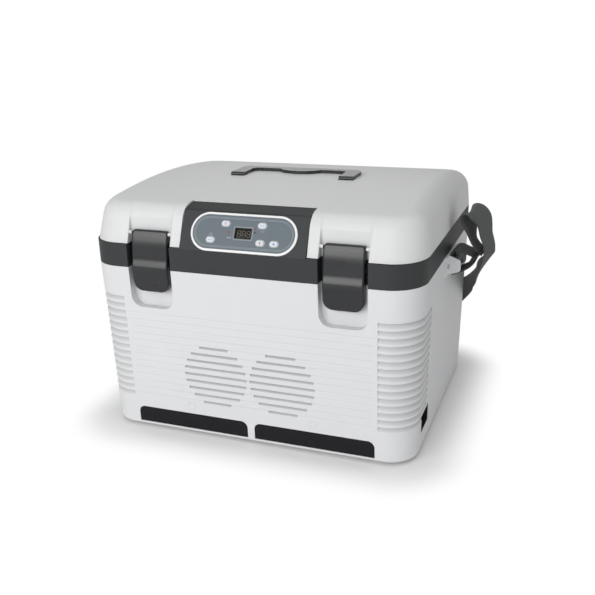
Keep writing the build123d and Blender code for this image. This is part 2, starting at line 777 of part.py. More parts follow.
with BuildPart() as peltier_modules:
    with BuildSketch(Plane.XZ.offset(-engine_back)):
        with Locations((-grille_x, fan_z), (grille_x, fan_z)):
            Rectangle(module_size, module_size)
    extrude(amount=module_thickness)
peltier_modules.part.label = "peltier_modules"
export_step(peltier_modules.part.moved(frame_shift), "parts/peltier_modules.step")

with BuildPart() as transfer_blocks:
    with BuildSketch(Plane.XZ.offset(-space_front)):
        with Locations((-grille_x, fan_z), (grille_x, fan_z)):
            Rectangle(module_size, module_size)
    extrude(amount=space_front - engine_back)
transfer_blocks.part.label = "transfer_blocks"
export_step(transfer_blocks.part.moved(frame_shift), "parts/transfer_blocks.step")

# Cold sink, inner fan and cover inside the storage space
cold_width = 160.0
cold_height = 84.0
cold_base = 4.0
cold_fin = 14.0
inner_fan_size = 60.0
inner_fan_depth = 15.0
inner_fan_front = space_front + cold_base + cold_fin + 0.3
with BuildPart() as cold_sink:
    with BuildSketch(Plane.XZ.offset(-space_front)):
        with Locations((0, fan_z)):
            Rectangle(cold_width, cold_height)
    extrude(amount=-cold_base)
    with BuildSketch(Plane.XZ.offset(-space_front - cold_base)):
        with Locations((0, fan_z)):
            with GridLocations(10.0, 0, 16, 1):
                Rectangle(1.6, cold_height)
    extrude(amount=-cold_fin)
cold_sink.part.label = "cold_sink"
export_step(cold_sink.part.moved(frame_shift), "parts/cold_sink.step")

inner_hub = 11.0
with BuildPart() as inner_fan_frame:
    with BuildSketch(Plane.XZ.offset(-inner_fan_front)):
        with Locations((0, fan_z)):
            RectangleRounded(inner_fan_size, inner_fan_size, 4.0)
            Circle(inner_fan_size / 2 - 1.6, mode=Mode.SUBTRACT)
            with GridLocations(inner_fan_size - 10.0, inner_fan_size - 10.0, 2, 2):
                Circle(screw_radius + running_gap, mode=Mode.SUBTRACT)
    extrude(amount=-inner_fan_depth)
    with BuildSketch(Plane.XZ.offset(-inner_fan_front)):
        with Locations((0, fan_z)):
            Circle(inner_hub)
            Rectangle(3.0, inner_fan_size - 2.0, rotation=45)
            Rectangle(3.0, inner_fan_size - 2.0, rotation=-45)
            Circle(shaft_radius + running_gap, mode=Mode.SUBTRACT)
    extrude(amount=-2.0)
inner_fan_frame.part.label = "inner_fan_frame"
export_step(inner_fan_frame.part.moved(frame_shift), "parts/inner_fan_frame.step")

with BuildPart() as inner_fan_rotor:
    with BuildSketch(Plane.XZ.offset(-inner_fan_front - 2.5)):
        with Locations((0, fan_z)):
            Circle(inner_hub)
    extrude(amount=-(inner_fan_depth - 3.5))
    with BuildSketch(Plane.XZ.offset(-inner_fan_front - 0.3)):
        with Locations((0, fan_z)):
            Circle(shaft_radius)
    extrude(amount=-6.0)
    blade_y = inner_fan_front + 2.5 + (inner_fan_depth - 3.5) / 2
    for blade in range(7):
        turn = 360 / 7 * blade
        out = Vector(cos(radians(turn)), 0, sin(radians(turn)))
        middle = Vector(0, blade_y, fan_z)
        for radius, pitch, chord in ((inner_hub - 1.0, 45.0, 12.0), (inner_fan_size / 2 - 2.8, 30.0, 15.0)):
            with BuildSketch(Plane(origin=middle + out * radius, x_dir=(0, 1, 0), z_dir=out)):
                Rectangle(chord, 1.2, rotation=90 - pitch)
        loft(ruled=True)
inner_fan_rotor.part.label = "inner_fan_rotor"
export_step(inner_fan_rotor.part.moved(frame_shift), "parts/inner_fan_rotor.step")

# Cover over the cold sink, with an air ring before the fan and slots at the sides
guard_width = 190.0
guard_height = 100.0
guard_depth = cold_base + cold_fin + inner_fan_depth + 4.0
with BuildPart() as cold_guard:
    with BuildSketch(Plane.XZ.offset(-space_front)):
        with Locations((0, fan_z)):
            RectangleRounded(guard_width, guard_height, 8.0)
    extrude(amount=-guard_depth)
    fillet(cold_guard.faces().sort_by(Axis.Y)[-1].edges(), 5.0)
    with BuildSketch(Plane.XZ.offset(-space_front)):
        with Locations((0, fan_z)):
            RectangleRounded(guard_width - 4.0, guard_height - 4.0, 6.0)
    extrude(amount=-guard_depth + 2.0, mode=Mode.SUBTRACT)
    with BuildSketch(Plane.XZ.offset(-space_front)) as guard_slots:
        for row in range(-3, 4):
            half_chord = sqrt((inner_fan_size / 2 - 1.0) ** 2 - (row * 7.4) ** 2)
            with Locations((0, fan_z + row * 7.4)):
                SlotOverall(2 * half_chord, 4.4)
        for turn in (-1, 1):
            with Locations((turn * 66.0, fan_z)):
                with GridLocations(0, 12.0, 1, 6):
                    SlotOverall(34.0, 5.0)
    extrude(amount=-guard_depth - 1.0, mode=Mode.SUBTRACT)
cold_guard.part.label = "cold_guard"
export_step(cold_guard.part.moved(frame_shift), "parts/cold_guard.step")

# Power supply on the base plate beside the right fan
supply_x = 132.0
supply_y = -140.0
with BuildPart() as power_supply:
    with BuildSketch(Plane.XY.offset(base_top + 0.1)):
        with Locations((supply_x, supply_y)):
            Rectangle(52.0, 60.0)
    extrude(amount=2.0)
    with BuildSketch(Plane.XY.offset(base_top + 2.0)):
        with Locations((supply_x - 8.0, supply_y + 8.0)):
            Rectangle(30.0, 32.0)
    extrude(amount=30.0)
    with BuildSketch(Plane.XY.offset(base_top + 2.0)):
        with Locations((supply_x + 17.0, supply_y + 8.0)):
            Rectangle(4.0, 40.0)
    extrude(amount=38.0)
    with BuildSketch(Plane.XY.offset(base_top + 2.0)):
        with Locations((supply_x, supply_y - 20.0)):
            with GridLocations(16.0, 0, 3, 1):
                Circle(6.0)
    extrude(amount=26.0)
power_supply.part.label = "power_supply"
export_step(power_supply.part.moved(frame_shift), "parts/power_supply.step")

# Power inlet: a sunk panel with a round low-voltage socket and a two-pole mains socket
inlet_face = side - draw_in(inlet_z) - 0.3
with BuildPart() as power_inlet:
    with BuildSketch(Plane.YZ.offset(inlet_face)):
        with Locations((inlet_y, inlet_z)):
            RectangleRounded(inlet_length - 0.4, inlet_height - 0.4, 1.8)
    extrude(amount=-18.0)
    with BuildSketch(Plane.YZ.offset(inlet_face)):
        with Locations((inlet_y, inlet_z)):
            RectangleRounded(inlet_length - 4.4, inlet_height - 4.4, 1.5)
    extrude(amount=-7.0, mode=Mode.SUBTRACT)
    with BuildSketch(Plane.YZ.offset(inlet_face - 7.0)):
        with Locations((inlet_y - 9.0, inlet_z)):
            Circle(5.6)
            Circle(1.6, mode=Mode.SUBTRACT)
        with Locations((inlet_y + 8.0, inlet_z)):
            SlotOverall(15.5, 8.2)
            with GridLocations(7.6, 0, 2, 1):
                Circle(1.3, mode=Mode.SUBTRACT)
    extrude(amount=-9.0, mode=Mode.SUBTRACT)
power_inlet.part.label = "power_inlet"
export_step(power_inlet.part.moved(frame_shift), "parts/power_inlet.step")

with BuildPart() as base_screws:
    with BuildSketch(Plane.XY.offset(foot_lift - 1.6)):
        with GridLocations(2 * base_screw_x, base_screw_pitch, 2, 3):
            Circle(screw_head)
    extrude(amount=1.6)
    with BuildSketch(Plane.XY.offset(foot_lift - 1.0)):
        with GridLocations(2 * base_screw_x, base_screw_pitch, 2, 3):
            Circle(screw_radius)
    extrude(amount=6.8)
base_screws.part.label = "base_screws"
export_step(base_screws.part.moved(frame_shift), "parts/base_screws.step")

# Strap lugs: a plate with two fins and a bar, screwed to each side of the tub
lug_bar_reach = 10.5
lug_bar_radius = 3.0
wall_x = side - draw_in(lug_z)
for name, turn in (("left", -1), ("right", 1)):
    with BuildPart() as strap_lug:
        # Plate and fins follow the slope of the wall
        for fin in (-1, 1):
            with BuildSketch(Plane.XZ.offset(fin * (lug_gap + lug_fin) / 2)) as fin_outline:
                Polygon(
                    (turn * (side - draw_in(lug_bottom) + 0.05), lug_bottom),
                    (turn * (wall_x + lug_reach), lug_bottom + 6.0),
                    (turn * (wall_x + lug_reach), lug_bottom + lug_height - 6.0),
                    (turn * (side - draw_in(lug_bottom + lug_height) + 0.05), lug_bottom + lug_height),
                    align=None,
                )
                outer_x = Axis.X if turn > 0 else -Axis.X
                fillet(fin_outline.vertices().group_by(outer_x)[-1], 5.0)
            extrude(amount=lug_fin / 2, both=True)
        for height in (lug_bottom, lug_bottom + lug_height):
            with BuildSketch(Plane.XY.offset(height)):
                inner = side - draw_in(height) + 0.05
                with Locations((turn * (inner + 1.1), 0)):
                    Rectangle(2.2, lug_gap + 2 * lug_fin + 22.0)
        loft(ruled=True)
        with BuildSketch(Plane.XZ.offset(-lug_gap / 2 - 1.0)):
            with Locations((turn * (wall_x + lug_bar_reach), lug_z)):
                Circle(lug_bar_radius)
        extrude(amount=lug_gap + 2.0)
        with BuildSketch(Plane.YZ.offset(turn * (side - 8.0))):
            with Locations((-lug_screw_y, lug_z), (lug_screw_y, lug_z)):
                Circle(screw_radius + running_gap)
        extrude(amount=turn * 30.0, mode=Mode.SUBTRACT)
    strap_lug.part.label = f"strap_lug_{name}"
    export_step(strap_lug.part.moved(frame_shift), f"parts/strap_lug_{name}.step")

lug_face_x = wall_x + 2.25
with BuildPart() as lug_screws:
    for turn in (-1, 1):
        with BuildSketch(Plane.YZ.offset(turn * (lug_face_x + 0.1))):
            with Locations((-lug_screw_y, lug_z), (lug_screw_y, lug_z)):
                Circle(screw_head)
        extrude(amount=turn * 1.8)
        with BuildSketch(Plane.YZ.offset(turn * (wall_x - shell_wall + 0.3))):
            with Locations((-lug_screw_y, lug_z), (lug_screw_y, lug_z)):
                Circle(screw_radius)
        extrude(amount=turn * (shell_wall - 0.3 + 2.25 + 0.2))
lug_screws.part.label = "lug_screws"
export_step(lug_screws.part.moved(frame_shift), "parts/lug_screws.step")

with BuildPart() as hinge_pins:
    with BuildSketch(Plane.YZ.offset(-hinge_x - hinge_width / 2 - 0.5)):
        with Locations((hinge_y, band_top)):
            Circle(hinge_pin_radius)
    extrude(amount=hinge_width + 1.0)
    with BuildSketch(Plane.YZ.offset(hinge_x - hinge_width / 2 - 0.5)):
        with Locations((hinge_y, band_top)):
            Circle(hinge_pin_radius)
    extrude(amount=hinge_width + 1.0)
hinge_pins.part.label = "hinge_pins"
export_step(hinge_pins.part.moved(frame_shift), "parts/hinge_pins.step")

# Lid shell: leaning sides, crowned top, notch for the control housing, two latch channels
notch_half = housing_width / 2 + notch_gap
notch_back = housing_back + notch_gap
channel_wall = 3.0
pocket_width = handle_arm + 2.0
pocket_front = -14.0
pocket_back = 1.5
pocket_floor = 309.5
lid_screw_places = [(x, y) for x in (-203.0, 203.0) for y in (-128.0, 0.0, 136.0)]


def lid_hollow(low, gap):
    """Hollow of the lid above a height, clear of its walls and bosses by a gap."""
    with BuildPart() as hollow:
        add(lid_block(low, lid_wall + gap))
        with BuildSketch(Plane.XY.offset(low)):
            wall = housing_wall + gap
            with Locations((0, notch_back + wall)):
                Rectangle(2 * (notch_half + wall), -front, align=(Align.CENTER, Align.MAX))
            wall = channel_wall + gap
            with Locations((-latch_x, lid_channel_y + wall), (latch_x, lid_channel_y + wall)):
                Rectangle(channel_width + 2 * wall, -front, align=(Align.CENTER, Align.MAX))
            with Locations(*lid_screw_places):
                Circle(4.0 + gap)
        extrude(amount=80.0, mode=Mode.SUBTRACT)
        with BuildSketch(Plane.XY.offset(pocket_floor - 2.5 - gap)):
            for turn in (-1, 1):
                with Locations((turn * handle_x, (pocket_front + pocket_back) / 2)):
                    wall = 2.5 + gap
                    Rectangle(pocket_width + 2 * wall, pocket_back - pocket_front + 2 * wall)
        extrude(amount=40.0, mode=Mode.SUBTRACT)
    return hollow.part


with BuildPart() as lid_shell:
    add(lid_block(lid_bottom, 0))
    add(lid_hollow(lid_bottom - 1.0, 0), mode=Mode.SUBTRACT)
    # The screw bosses start above the liner's flange
    with BuildSketch(Plane.XY.offset(lid_bottom - 1.0)):
        with Locations(*lid_screw_places):
            Circle(4.2)
    extrude(amount=268.7 - lid_bottom + 1.0, mode=Mode.SUBTRACT)
    with BuildSketch(Plane.XY.offset(lid_bottom - 1.0)):
        with Locations(*lid_screw_places):
            Circle(screw_radius)
    extrude(amount=20.0, mode=Mode.SUBTRACT)
    with BuildSketch(Plane.XY.offset(lid_bottom - 1.0)) as notch:
        with Locations((0, notch_back)):
            Rectangle(2 * notch_half, -front, align=(Align.CENTER, Align.MAX))
        with Locations((-latch_x, lid_channel_y), (latch_x, lid_channel_y)):
            Rectangle(channel_width, -front, align=(Align.CENTER, Align.MAX))
    extrude(amount=80.0, mode=Mode.SUBTRACT)
    # Handle pockets
    with BuildSketch(Plane.XY.offset(pocket_floor)):
        for turn in (-1, 1):
            with Locations((turn * handle_x, (pocket_front + pocket_back) / 2)):
                RectangleRounded(pocket_width, pocket_back - pocket_front, 1.5)
    extrude(amount=40.0, mode=Mode.SUBTRACT)
    # Pin seats of the handle and the latches
    for turn in (-1, 1):
        with BuildSketch(Plane.YZ.offset(turn * handle_x)):
            with Locations((handle_pivot_y, handle_pivot_z)):
                Circle(handle_pin_radius)
        extrude(amount=pocket_width / 2 + 2.2, both=True, mode=Mode.SUBTRACT)
        with BuildSketch(Plane.YZ.offset(turn * latch_x)):
            with Locations((latch_pivot_y, latch_pivot_z)):
                Circle(latch_pin_radius)
        extrude(amount=channel_width / 2 + 2.2, both=True, mode=Mode.SUBTRACT)
    # Hinge knuckles at the back, one each side of the frame's knuckle
    for centre in (-hinge_x, hinge_x):
        for turn in (-1, 1):
            with BuildSketch(Plane.YZ.offset(centre + turn * 3 / 8 * hinge_width)):
                with Locations((hinge_y, band_top)):
                    Circle(hinge_radius)
                Polygon(
                    (back - 0.6, lid_bottom + 0.4),
                    (hinge_y, band_top),
                    (hinge_y, band_top + hinge_radius),
                    (back - 2.4, lid_bottom + 12.4),
                    align=None,
                )
                with Locations((hinge_y, band_top)):
                    Circle(hinge_pin_radius + running_gap, mode=Mode.SUBTRACT)
            extrude(amount=hinge_width / 8, both=True)
lid_shell.part.label = "lid_shell"
export_step(lid_shell.part.moved(frame_shift), "parts/lid_shell.step")

# Lid liner: a flange inside the lid's rim with a hollow plug that dips into the space
flange_low = 266.0
flange_high = 268.5
plug_bottom = 252.0
plug_gap = 2.0
with BuildPart() as lid_liner:
    add(lid_hollow(flange_low, clearance))
    with BuildSketch(Plane.XY.offset(flange_low)):
        with Locations(*lid_screw_places):
            Circle(4.5)
    extrude(amount=flange_high - flange_low)
    with BuildSketch(Plane.XY.offset(flange_high)):
        Rectangle(2 * body_width, 2 * body_depth)
    extrude(amount=100.0, mode=Mode.SUBTRACT)
    with BuildSketch(Plane.XY.offset(plug_bottom)):
        with Locations((0, space_middle)):
            RectangleRounded(space_width - 2 * plug_gap, space_depth - 2 * plug_gap, 15.0)
    extrude(amount=flange_low - plug_bottom)
    chamfer(lid_liner.faces().sort_by(Axis.Z)[0].edges(), 2.0)
    with BuildSketch(Plane.XY.offset(plug_bottom + liner_wall)):
        with Locations((0, space_middle)):
            RectangleRounded(space_width - 8.0, space_depth - 8.0, 13.0)
    extrude(amount=40.0, mode=Mode.SUBTRACT)
    with BuildSketch(Plane.XY.offset(flange_low)):
        with Locations(*lid_screw_places):
            Circle(screw_radius + running_gap)
    extrude(amount=10.0, mode=Mode.SUBTRACT)
lid_liner.part.label = "lid_liner"
export_step(lid_liner.part.moved(frame_shift), "parts/lid_liner.step")

with BuildPart() as lid_foam:
    add(lid_hollow(flange_high + clearance, clearance))
    with BuildSketch(Plane.XY.offset(plug_bottom + liner_wall + clearance)):
        with Locations((0, space_middle)):
            RectangleRounded(space_width - 8.6, space_depth - 8.6, 12.7)
    extrude(amount=flange_high + 1.0 - plug_bottom - liner_wall)
lid_foam.part.label = "lid_foam"
export_step(lid_foam.part.moved(frame_shift), "parts/lid_foam.step")

# Gasket ring under the flange
with BuildPart() as lid_gasket:
    with BuildSketch(Plane.XY.offset(band_top + clearance)):
        with Locations((0, space_middle)):
            RectangleRounded(space_width + 20.0, space_depth + 20.0, 24.0)
            RectangleRounded(space_width + 6.0, space_depth + 6.0, 17.0, mode=Mode.SUBTRACT)
    extrude(amount=flange_low - band_top - clearance)
    chamfer(lid_gasket.faces().sort_by(Axis.Z)[0].edges(), 1.2)
lid_gasket.part.label = "lid_gasket"
export_step(lid_gasket.part.moved(frame_shift), "parts/lid_gasket.step")

with BuildPart() as lid_screws:
    with BuildSketch(Plane.XY.offset(flange_low - 1.8)):
        with Locations(*lid_screw_places):
            Circle(screw_head)
    extrude(amount=1.8)
    with BuildSketch(Plane.XY.offset(flange_low - 1.0)):
        with Locations(*lid_screw_places):
            Circle(screw_radius)
    extrude(amount=16.0)
lid_screws.part.label = "lid_screws"
export_step(lid_screws.part.moved(frame_shift), "parts/lid_screws.step")

with BuildPart() as handle_pins:
    for turn in (-1, 1):
        with BuildSketch(Plane.YZ.offset(turn * handle_x)):
            with Locations((handle_pivot_y, handle_pivot_z)):
                Circle(handle_pin_radius)
        extrude(amount=pocket_width / 2 + 2.0, both=True)
handle_pins.part.label = "handle_pins"
export_step(handle_pins.part.moved(frame_shift), "parts/handle_pins.step")

with BuildPart() as latch_pins:
    for turn in (-1, 1):
        with BuildSketch(Plane.YZ.offset(turn * latch_x)):
            with Locations((latch_pivot_y, latch_pivot_z)):
                Circle(latch_pin_radius)
        extrude(amount=channel_width / 2 + 2.0, both=True)
latch_pins.part.label = "latch_pins"
export_step(latch_pins.part.moved(frame_shift), "parts/latch_pins.step")

# Carry handle: two flat arms on barrels, a thin bar and a bulged grip
handle_low = 322.3
handle_end = -11.5
bar_back = 40.0
bar_front = 28.0
grip_half = 31.0
grip_reach = 14.0
with BuildPart() as carry_handle:
    with BuildSketch(Plane.XY.offset(handle_low)) as handle_outline:
        reach = handle_x + handle_arm / 2
        with Locations((0, (handle_end + bar_back) / 2)):
            Rectangle(2 * reach, bar_back - handle_end)
        fillet(handle_outline.vertices().group_by(Axis.Y)[-1], 13.0)
    extrude(amount=handle_plate)
    with BuildSketch(Plane.XY.offset(handle_low - 1.0)) as handle_opening:
        with Locations((0, (handle_end - 20.0 + bar_front) / 2)):
            Rectangle(2 * (handle_x - handle_arm / 2), bar_front - handle_end + 20.0)
        fillet(handle_opening.vertices().group_by(Axis.Y)[-1], 9.0)
    extrude(amount=20.0, mode=Mode.SUBTRACT)
    with BuildSketch(Plane.XY.offset(handle_low)):
        with BuildLine():
            Spline(
                (-grip_half, bar_front + 1.0),
                (-grip_half / 2, bar_front - grip_reach + 2.5),
                (0, bar_front - grip_reach),
                (grip_half / 2, bar_front - grip_reach + 2.5),
                (grip_half, bar_front + 1.0),
            )
            Line((grip_half, bar_front + 1.0), (-grip_half, bar_front + 1.0))
        make_face()
    extrude(amount=handle_plate)
    front_edges = carry_handle.edges().filter_by(Axis.X).group_by(Axis.Y)[0]
    fillet(front_edges.group_by(Axis.Z)[-1], 3.0)
    # Barrels on the pins
    for turn in (-1, 1):
        with BuildSketch(Plane.YZ.offset(turn * handle_x)):
            with Locations((handle_pivot_y, handle_pivot_z)):
                Circle(handle_barrel)
            with Locations((handle_pivot_y, (handle_pivot_z + handle_low + 1.0) / 2)):
                Rectangle(2 * handle_barrel, handle_low + 1.0 - handle_pivot_z)
            with Locations((handle_pivot_y, handle_pivot_z)):
                Circle(handle_pin_radius + running_gap, mode=Mode.SUBTRACT)
        extrude(amount=handle_arm / 2, both=True)
carry_handle.part.label = "carry_handle"
export_step(carry_handle.part.moved(frame_shift), "parts/carry_handle.step")

# Latches: curved plates with two ears on the pin and a hook bar under the catch rail
latch_plate = 3.6
hook_low = 242.0
hook_high = 246.5
hook_nose = catch_y - 1.0
latch_outside = [
    (-176.5, latch_top),
    (-182.7, 259.0),
    (latch_front, 238.0),
    (-184.0, 219.5),
    (-180.0, latch_bottom),
]
for name, centre in (("left", -latch_x), ("right", latch_x)):
    with BuildPart() as latch:
        with BuildSketch(Plane.YZ.offset(centre)):
            with BuildLine():
                ThreePointArc(*latch_outside[:3])
                ThreePointArc(*latch_outside[2:])
                Line(latch_outside[4], (latch_outside[4][0] + 2.0, latch_bottom + 2.5))
                ThreePointArc(
                    (latch_outside[4][0] + 2.0, latch_bottom + 2.5),
                    (latch_outside[3][0] + latch_plate, latch_outside[3][1] + 0.5),
                    (latch_outside[2][0] + latch_plate, latch_outside[2][1] + 0.5),
                )
                ThreePointArc(
                    (latch_outside[2][0] + latch_plate, latch_outside[2][1] + 0.5),
                    (latch_outside[1][0] + latch_plate, latch_outside[1][1] - 0.5),
                    (latch_outside[0][0] + latch_plate, latch_top - 1.5),
                )
                Line((latch_outside[0][0] + latch_plate, latch_top - 1.5), latch_outside[0])
            make_face()
        extrude(amount=latch_width / 2, both=True)
        with BuildSketch(Plane.XZ.offset(150.0)) as latch_outline:
            with Locations((centre, (latch_bottom + latch_top) / 2)):
                Rectangle(latch_width, latch_top - latch_bottom)
            fillet(latch_outline.vertices().group_by(Axis.Y)[0], 13.0)
            fillet(latch_outline.vertices().group_by(Axis.Y)[-1], 4.5)
        extrude(amount=100.0, mode=Mode.INTERSECT)
        for turn in (-1, 1):
            with BuildSketch(Plane.YZ.offset(centre + turn * (latch_width / 2 - 2.5))):
                with Locations((latch_pivot_y, latch_pivot_z)):
                    Circle(latch_ear)
                Polygon(
                    (latch_pivot_y, latch_pivot_z - latch_ear),
                    (-179.5, 266.0),
                    (-177.0, latch_pivot_z + 1.5),
                    (latch_pivot_y, latch_pivot_z + latch_ear),
                    align=None,
                )
                with Locations((latch_pivot_y, latch_pivot_z)):
                    Circle(latch_pin_radius + running_gap, mode=Mode.SUBTRACT)
            extrude(amount=2.0, both=True)
        # The pin also passes under the plate's upper edge
        with BuildSketch(Plane.YZ.offset(centre)):
            with Locations((latch_pivot_y, latch_pivot_z)):
                Circle(latch_pin_radius + running_gap)
        extrude(amount=latch_width / 2, both=True, mode=Mode.SUBTRACT)
        with BuildSketch(Plane.YZ.offset(centre)):
            Polygon(
                (hook_nose - 5.4, hook_low),
                (hook_nose - 1.5, hook_low + 1.5),
                (hook_nose, hook_high),
                (hook_nose - 2.2, hook_high),
                (hook_nose - 5.0, hook_high + 4.0),
                align=None,
            )
        extrude(amount=20.0, both=True)
    latch.part.label = f"latch_{name}"
    export_step(latch.part.moved(frame_shift), f"parts/latch_{name}.step")

# Strap: a loop through each lug, a slider, and one long webbing behind the box
loop_points = [
    (222.6, 203.0),
    (222.6, 231.0),
    (227.0, 237.0),
    (233.0, 238.5),
    (250.6, 231.8),
    (257.0, 226.1),
    (247.5, 214.0),
    (231.0, 205.0),
]
for name, turn in (("left", -1), ("right", 1)):
    with BuildPart() as strap_loop:
        with BuildSketch(Plane.XZ.offset(-webbing_width / 2)) as loop_outline:
            Polygon(*[(turn * x, z) for x, z in loop_points], align=None)
            fillet(loop_outline.vertices(), 4.0)
            offset(amount=-webbing_thickness, mode=Mode.SUBTRACT)
        extrude(amount=webbing_width)
    strap_loop.part.label = f"strap_loop_{name}"
    export_step(strap_loop.part.moved(frame_shift), f"parts/strap_loop_{name}.step")

# Sliders: flat frames with a middle bar, leaning outward from the loops
glide_length = 46.0
glide_width = 22.0
glide_thickness = 3.0
glide_slot = 4.6
glide_foot = (248.9, 223.1)
glide_lean = 48.0
for name, turn in (("left", -1), ("right", 1)):
    rise = (cos(radians(glide_lean)), sin(radians(glide_lean)))
    glide_plane = Plane(
        origin=(
            turn * (glide_foot[0] + rise[0] * glide_width / 2),
            0,
            glide_foot[1] + rise[1] * glide_width / 2,
        ),
        x_dir=(0, 1, 0),
        z_dir=(turn * rise[1], 0, -rise[0]),
    )
    with BuildPart() as tri_glide:
        with BuildSketch(glide_plane):
            RectangleRounded(glide_length, glide_width, 3.0)
            with GridLocations(0, 2 * glide_slot, 1, 2):
                Rectangle(webbing_width + 1.5, glide_slot, mode=Mode.SUBTRACT)
        extrude(amount=glide_thickness / 2, both=True)
    tri_glide.part.label = f"tri_glide_{name}"
    export_step(tri_glide.part.moved(frame_shift), f"parts/tri_glide_{name}.step")

# Webbing route of the right half: up from the slider, over a fold, down outside it,
# and round to the middle of the back
strap_half_route = [
    (260.2, 0.0, 235.7),
    (255.0, 0.0, 240.4),
    (247.0, 0.0, 248.0),
    (241.5, 0.0, 260.0),
    (237.5, 0.0, 272.0),
    (238.0, 0.0, 284.0),
    (244.0, 0.0, 287.5),
    (253.0, 0.0, 285.0),
    (260.5, 0.0, 277.0),
    (263.0, 0.0, 262.0),
    (269.0, 0.0, 250.0),
    (273.0, 0.0, 240.0),
    (272.5, 0.0, 224.0),
    (268.0, 3.0, 210.0),
    (262.0, 22.0, 198.0),
    (252.0, 62.0, 184.0),
    (243.0, 100.0, 165.0),
    (237.0, 140.0, 145.0),
    (204.0, 206.0, 104.0),
    (120.0, 217.0, 56.0),
    (40.0, 217.0, 34.0),
]
strap_route = strap_half_route + [(-x, y, z) for x, y, z in reversed(strap_half_route)]
strap_vectors = [Vector(*point) for point in strap_route]
strap_radii = []
for before, here, after in zip(strap_vectors, strap_vectors[1:], strap_vectors[2:]):
    bend = (here - before).get_angle(after - here)
    shorter = min((here - before).length, (after - here).length)
    strap_radii.append(0.45 * shorter / tan(radians(bend / 2)))
print("strap radii", [round(radius) for radius in strap_radii])
with BuildPart() as shoulder_strap:
    with BuildLine() as strap_line:
        FilletPolyline(*strap_route, radius=strap_radii)
    strap_wire = strap_line.wires()[0]
    with BuildSketch(Plane(strap_wire @ 0, x_dir=(0, 1, 0), z_dir=strap_wire % 0)):
        Rectangle(webbing_width, webbing_thickness)
    sweep(path=strap_wire)
print("strap length", round(strap_wire.length), "volume", round(shoulder_strap.part.volume))
shoulder_strap.part.label = "shoulder_strap"
export_step(shoulder_strap.part.moved(frame_shift), "parts/shoulder_strap.step")
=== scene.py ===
# %% [markdown]
# A cooled box for platelets, finished in Blender
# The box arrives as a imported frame: every rigid piece is already at its real size and place, in
# metres, with +Z up and the front looking to -Y. What is left for this script is how it looks:
# grained plastic, woven strap, printed panel, lit digits, and the studio round it.

# %% Load the frame
import math

import bmesh
import bpy
import numpy as np
from mathutils import Matrix, Vector


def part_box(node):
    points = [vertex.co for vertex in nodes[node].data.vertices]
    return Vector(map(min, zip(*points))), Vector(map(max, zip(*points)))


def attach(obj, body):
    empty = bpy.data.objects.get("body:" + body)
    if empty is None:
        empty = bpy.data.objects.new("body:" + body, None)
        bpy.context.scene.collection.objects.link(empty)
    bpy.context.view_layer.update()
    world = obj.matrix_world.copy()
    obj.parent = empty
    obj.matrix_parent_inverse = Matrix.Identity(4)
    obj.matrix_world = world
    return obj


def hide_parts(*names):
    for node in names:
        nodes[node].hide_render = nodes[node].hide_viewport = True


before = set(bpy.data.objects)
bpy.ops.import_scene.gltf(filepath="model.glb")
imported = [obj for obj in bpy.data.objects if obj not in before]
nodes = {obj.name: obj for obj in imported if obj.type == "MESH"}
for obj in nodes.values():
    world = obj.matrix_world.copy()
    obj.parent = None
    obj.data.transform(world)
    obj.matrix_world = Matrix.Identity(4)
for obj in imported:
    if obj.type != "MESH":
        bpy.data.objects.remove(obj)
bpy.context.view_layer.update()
tub_low, tub_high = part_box("body_shell")
middle_y = (tub_low[1] + tub_high[1]) / 2
print("tub's middle plane at y", round(middle_y, 4))

# %% [markdown]
# The camera
# The photograph is a square picture taken from the front right, a little above the lid. The camera
# stands where the edges of the real box line up with the picture: about a metre off, with a normal
# lens. A camera's axes are its right, its up and its back, so they go into a matrix as columns.

# %% Camera
camera_place = Vector((0.38987, middle_y - 1.01520, 0.52432))
camera_right = Vector((0.936796, 0.348936, -0.025654))
camera_up = Vector((-0.092567, 0.317889, 0.943598))
camera_back = Vector((0.337410, -0.881584, 0.330097))
camera_data = bpy.data.cameras.new("camera")
camera_data.sensor_width = 36.0
camera_data.lens = 47.942
camera_data.clip_start = 0.01
camera_data.clip_end = 50.0
camera = bpy.data.objects.new("camera", camera_data)
bpy.context.scene.collection.objects.link(camera)
turn = Matrix((camera_right, camera_up, camera_back)).transposed()
camera.matrix_world = Matrix.Translation(camera_place) @ turn.to_4x4()
bpy.context.scene.camera = camera
print("camera at", tuple(round(v, 3) for v in camera_place))

# %% [markdown]
# The studio
# A product photograph is lit by large soft lamps. The front of the box is its brightest side, the
# lid is a little darker and the right side darker still, so the big lamp hangs in front on the left,
# weaker ones fill from above, from the right and from behind, and the world adds an even pale light.
# The floor is one large sheet under the box's feet.

# %% Studio


def soft_lamp(name, place, target, wide, tall, power):
    """Rectangular area lamp at a place, turned towards a target point."""
    data = bpy.data.lights.new(name, "AREA")
    data.shape = "RECTANGLE"
    data.size = wide
    data.size_y = tall
    data.energy = power
    lamp = bpy.data.objects.new(name, data)
    bpy.context.scene.collection.objects.link(lamp)
    lamp.location = place
    lamp.rotation_mode = "QUATERNION"
    lamp.rotation_quaternion = (Vector(target) - Vector(place)).to_track_quat("-Z", "Y")
    return lamp


box_middle = (0.0, 0.0, 0.16)
soft_lamp("front_lamp", (-0.75, -2.6, 1.25), box_middle, 2.4, 1.3, 46.5)
soft_lamp("top_lamp", (0.2, -0.2, 2.8), box_middle, 2.0, 2.0, 14.0)
soft_lamp("right_lamp", (2.6, -0.9, 0.6), box_middle, 1.6, 1.6, 9.0)
soft_lamp("back_lamp", (-0.95, 2.6, 1.25), box_middle, 1.4, 1.4, 6.0)

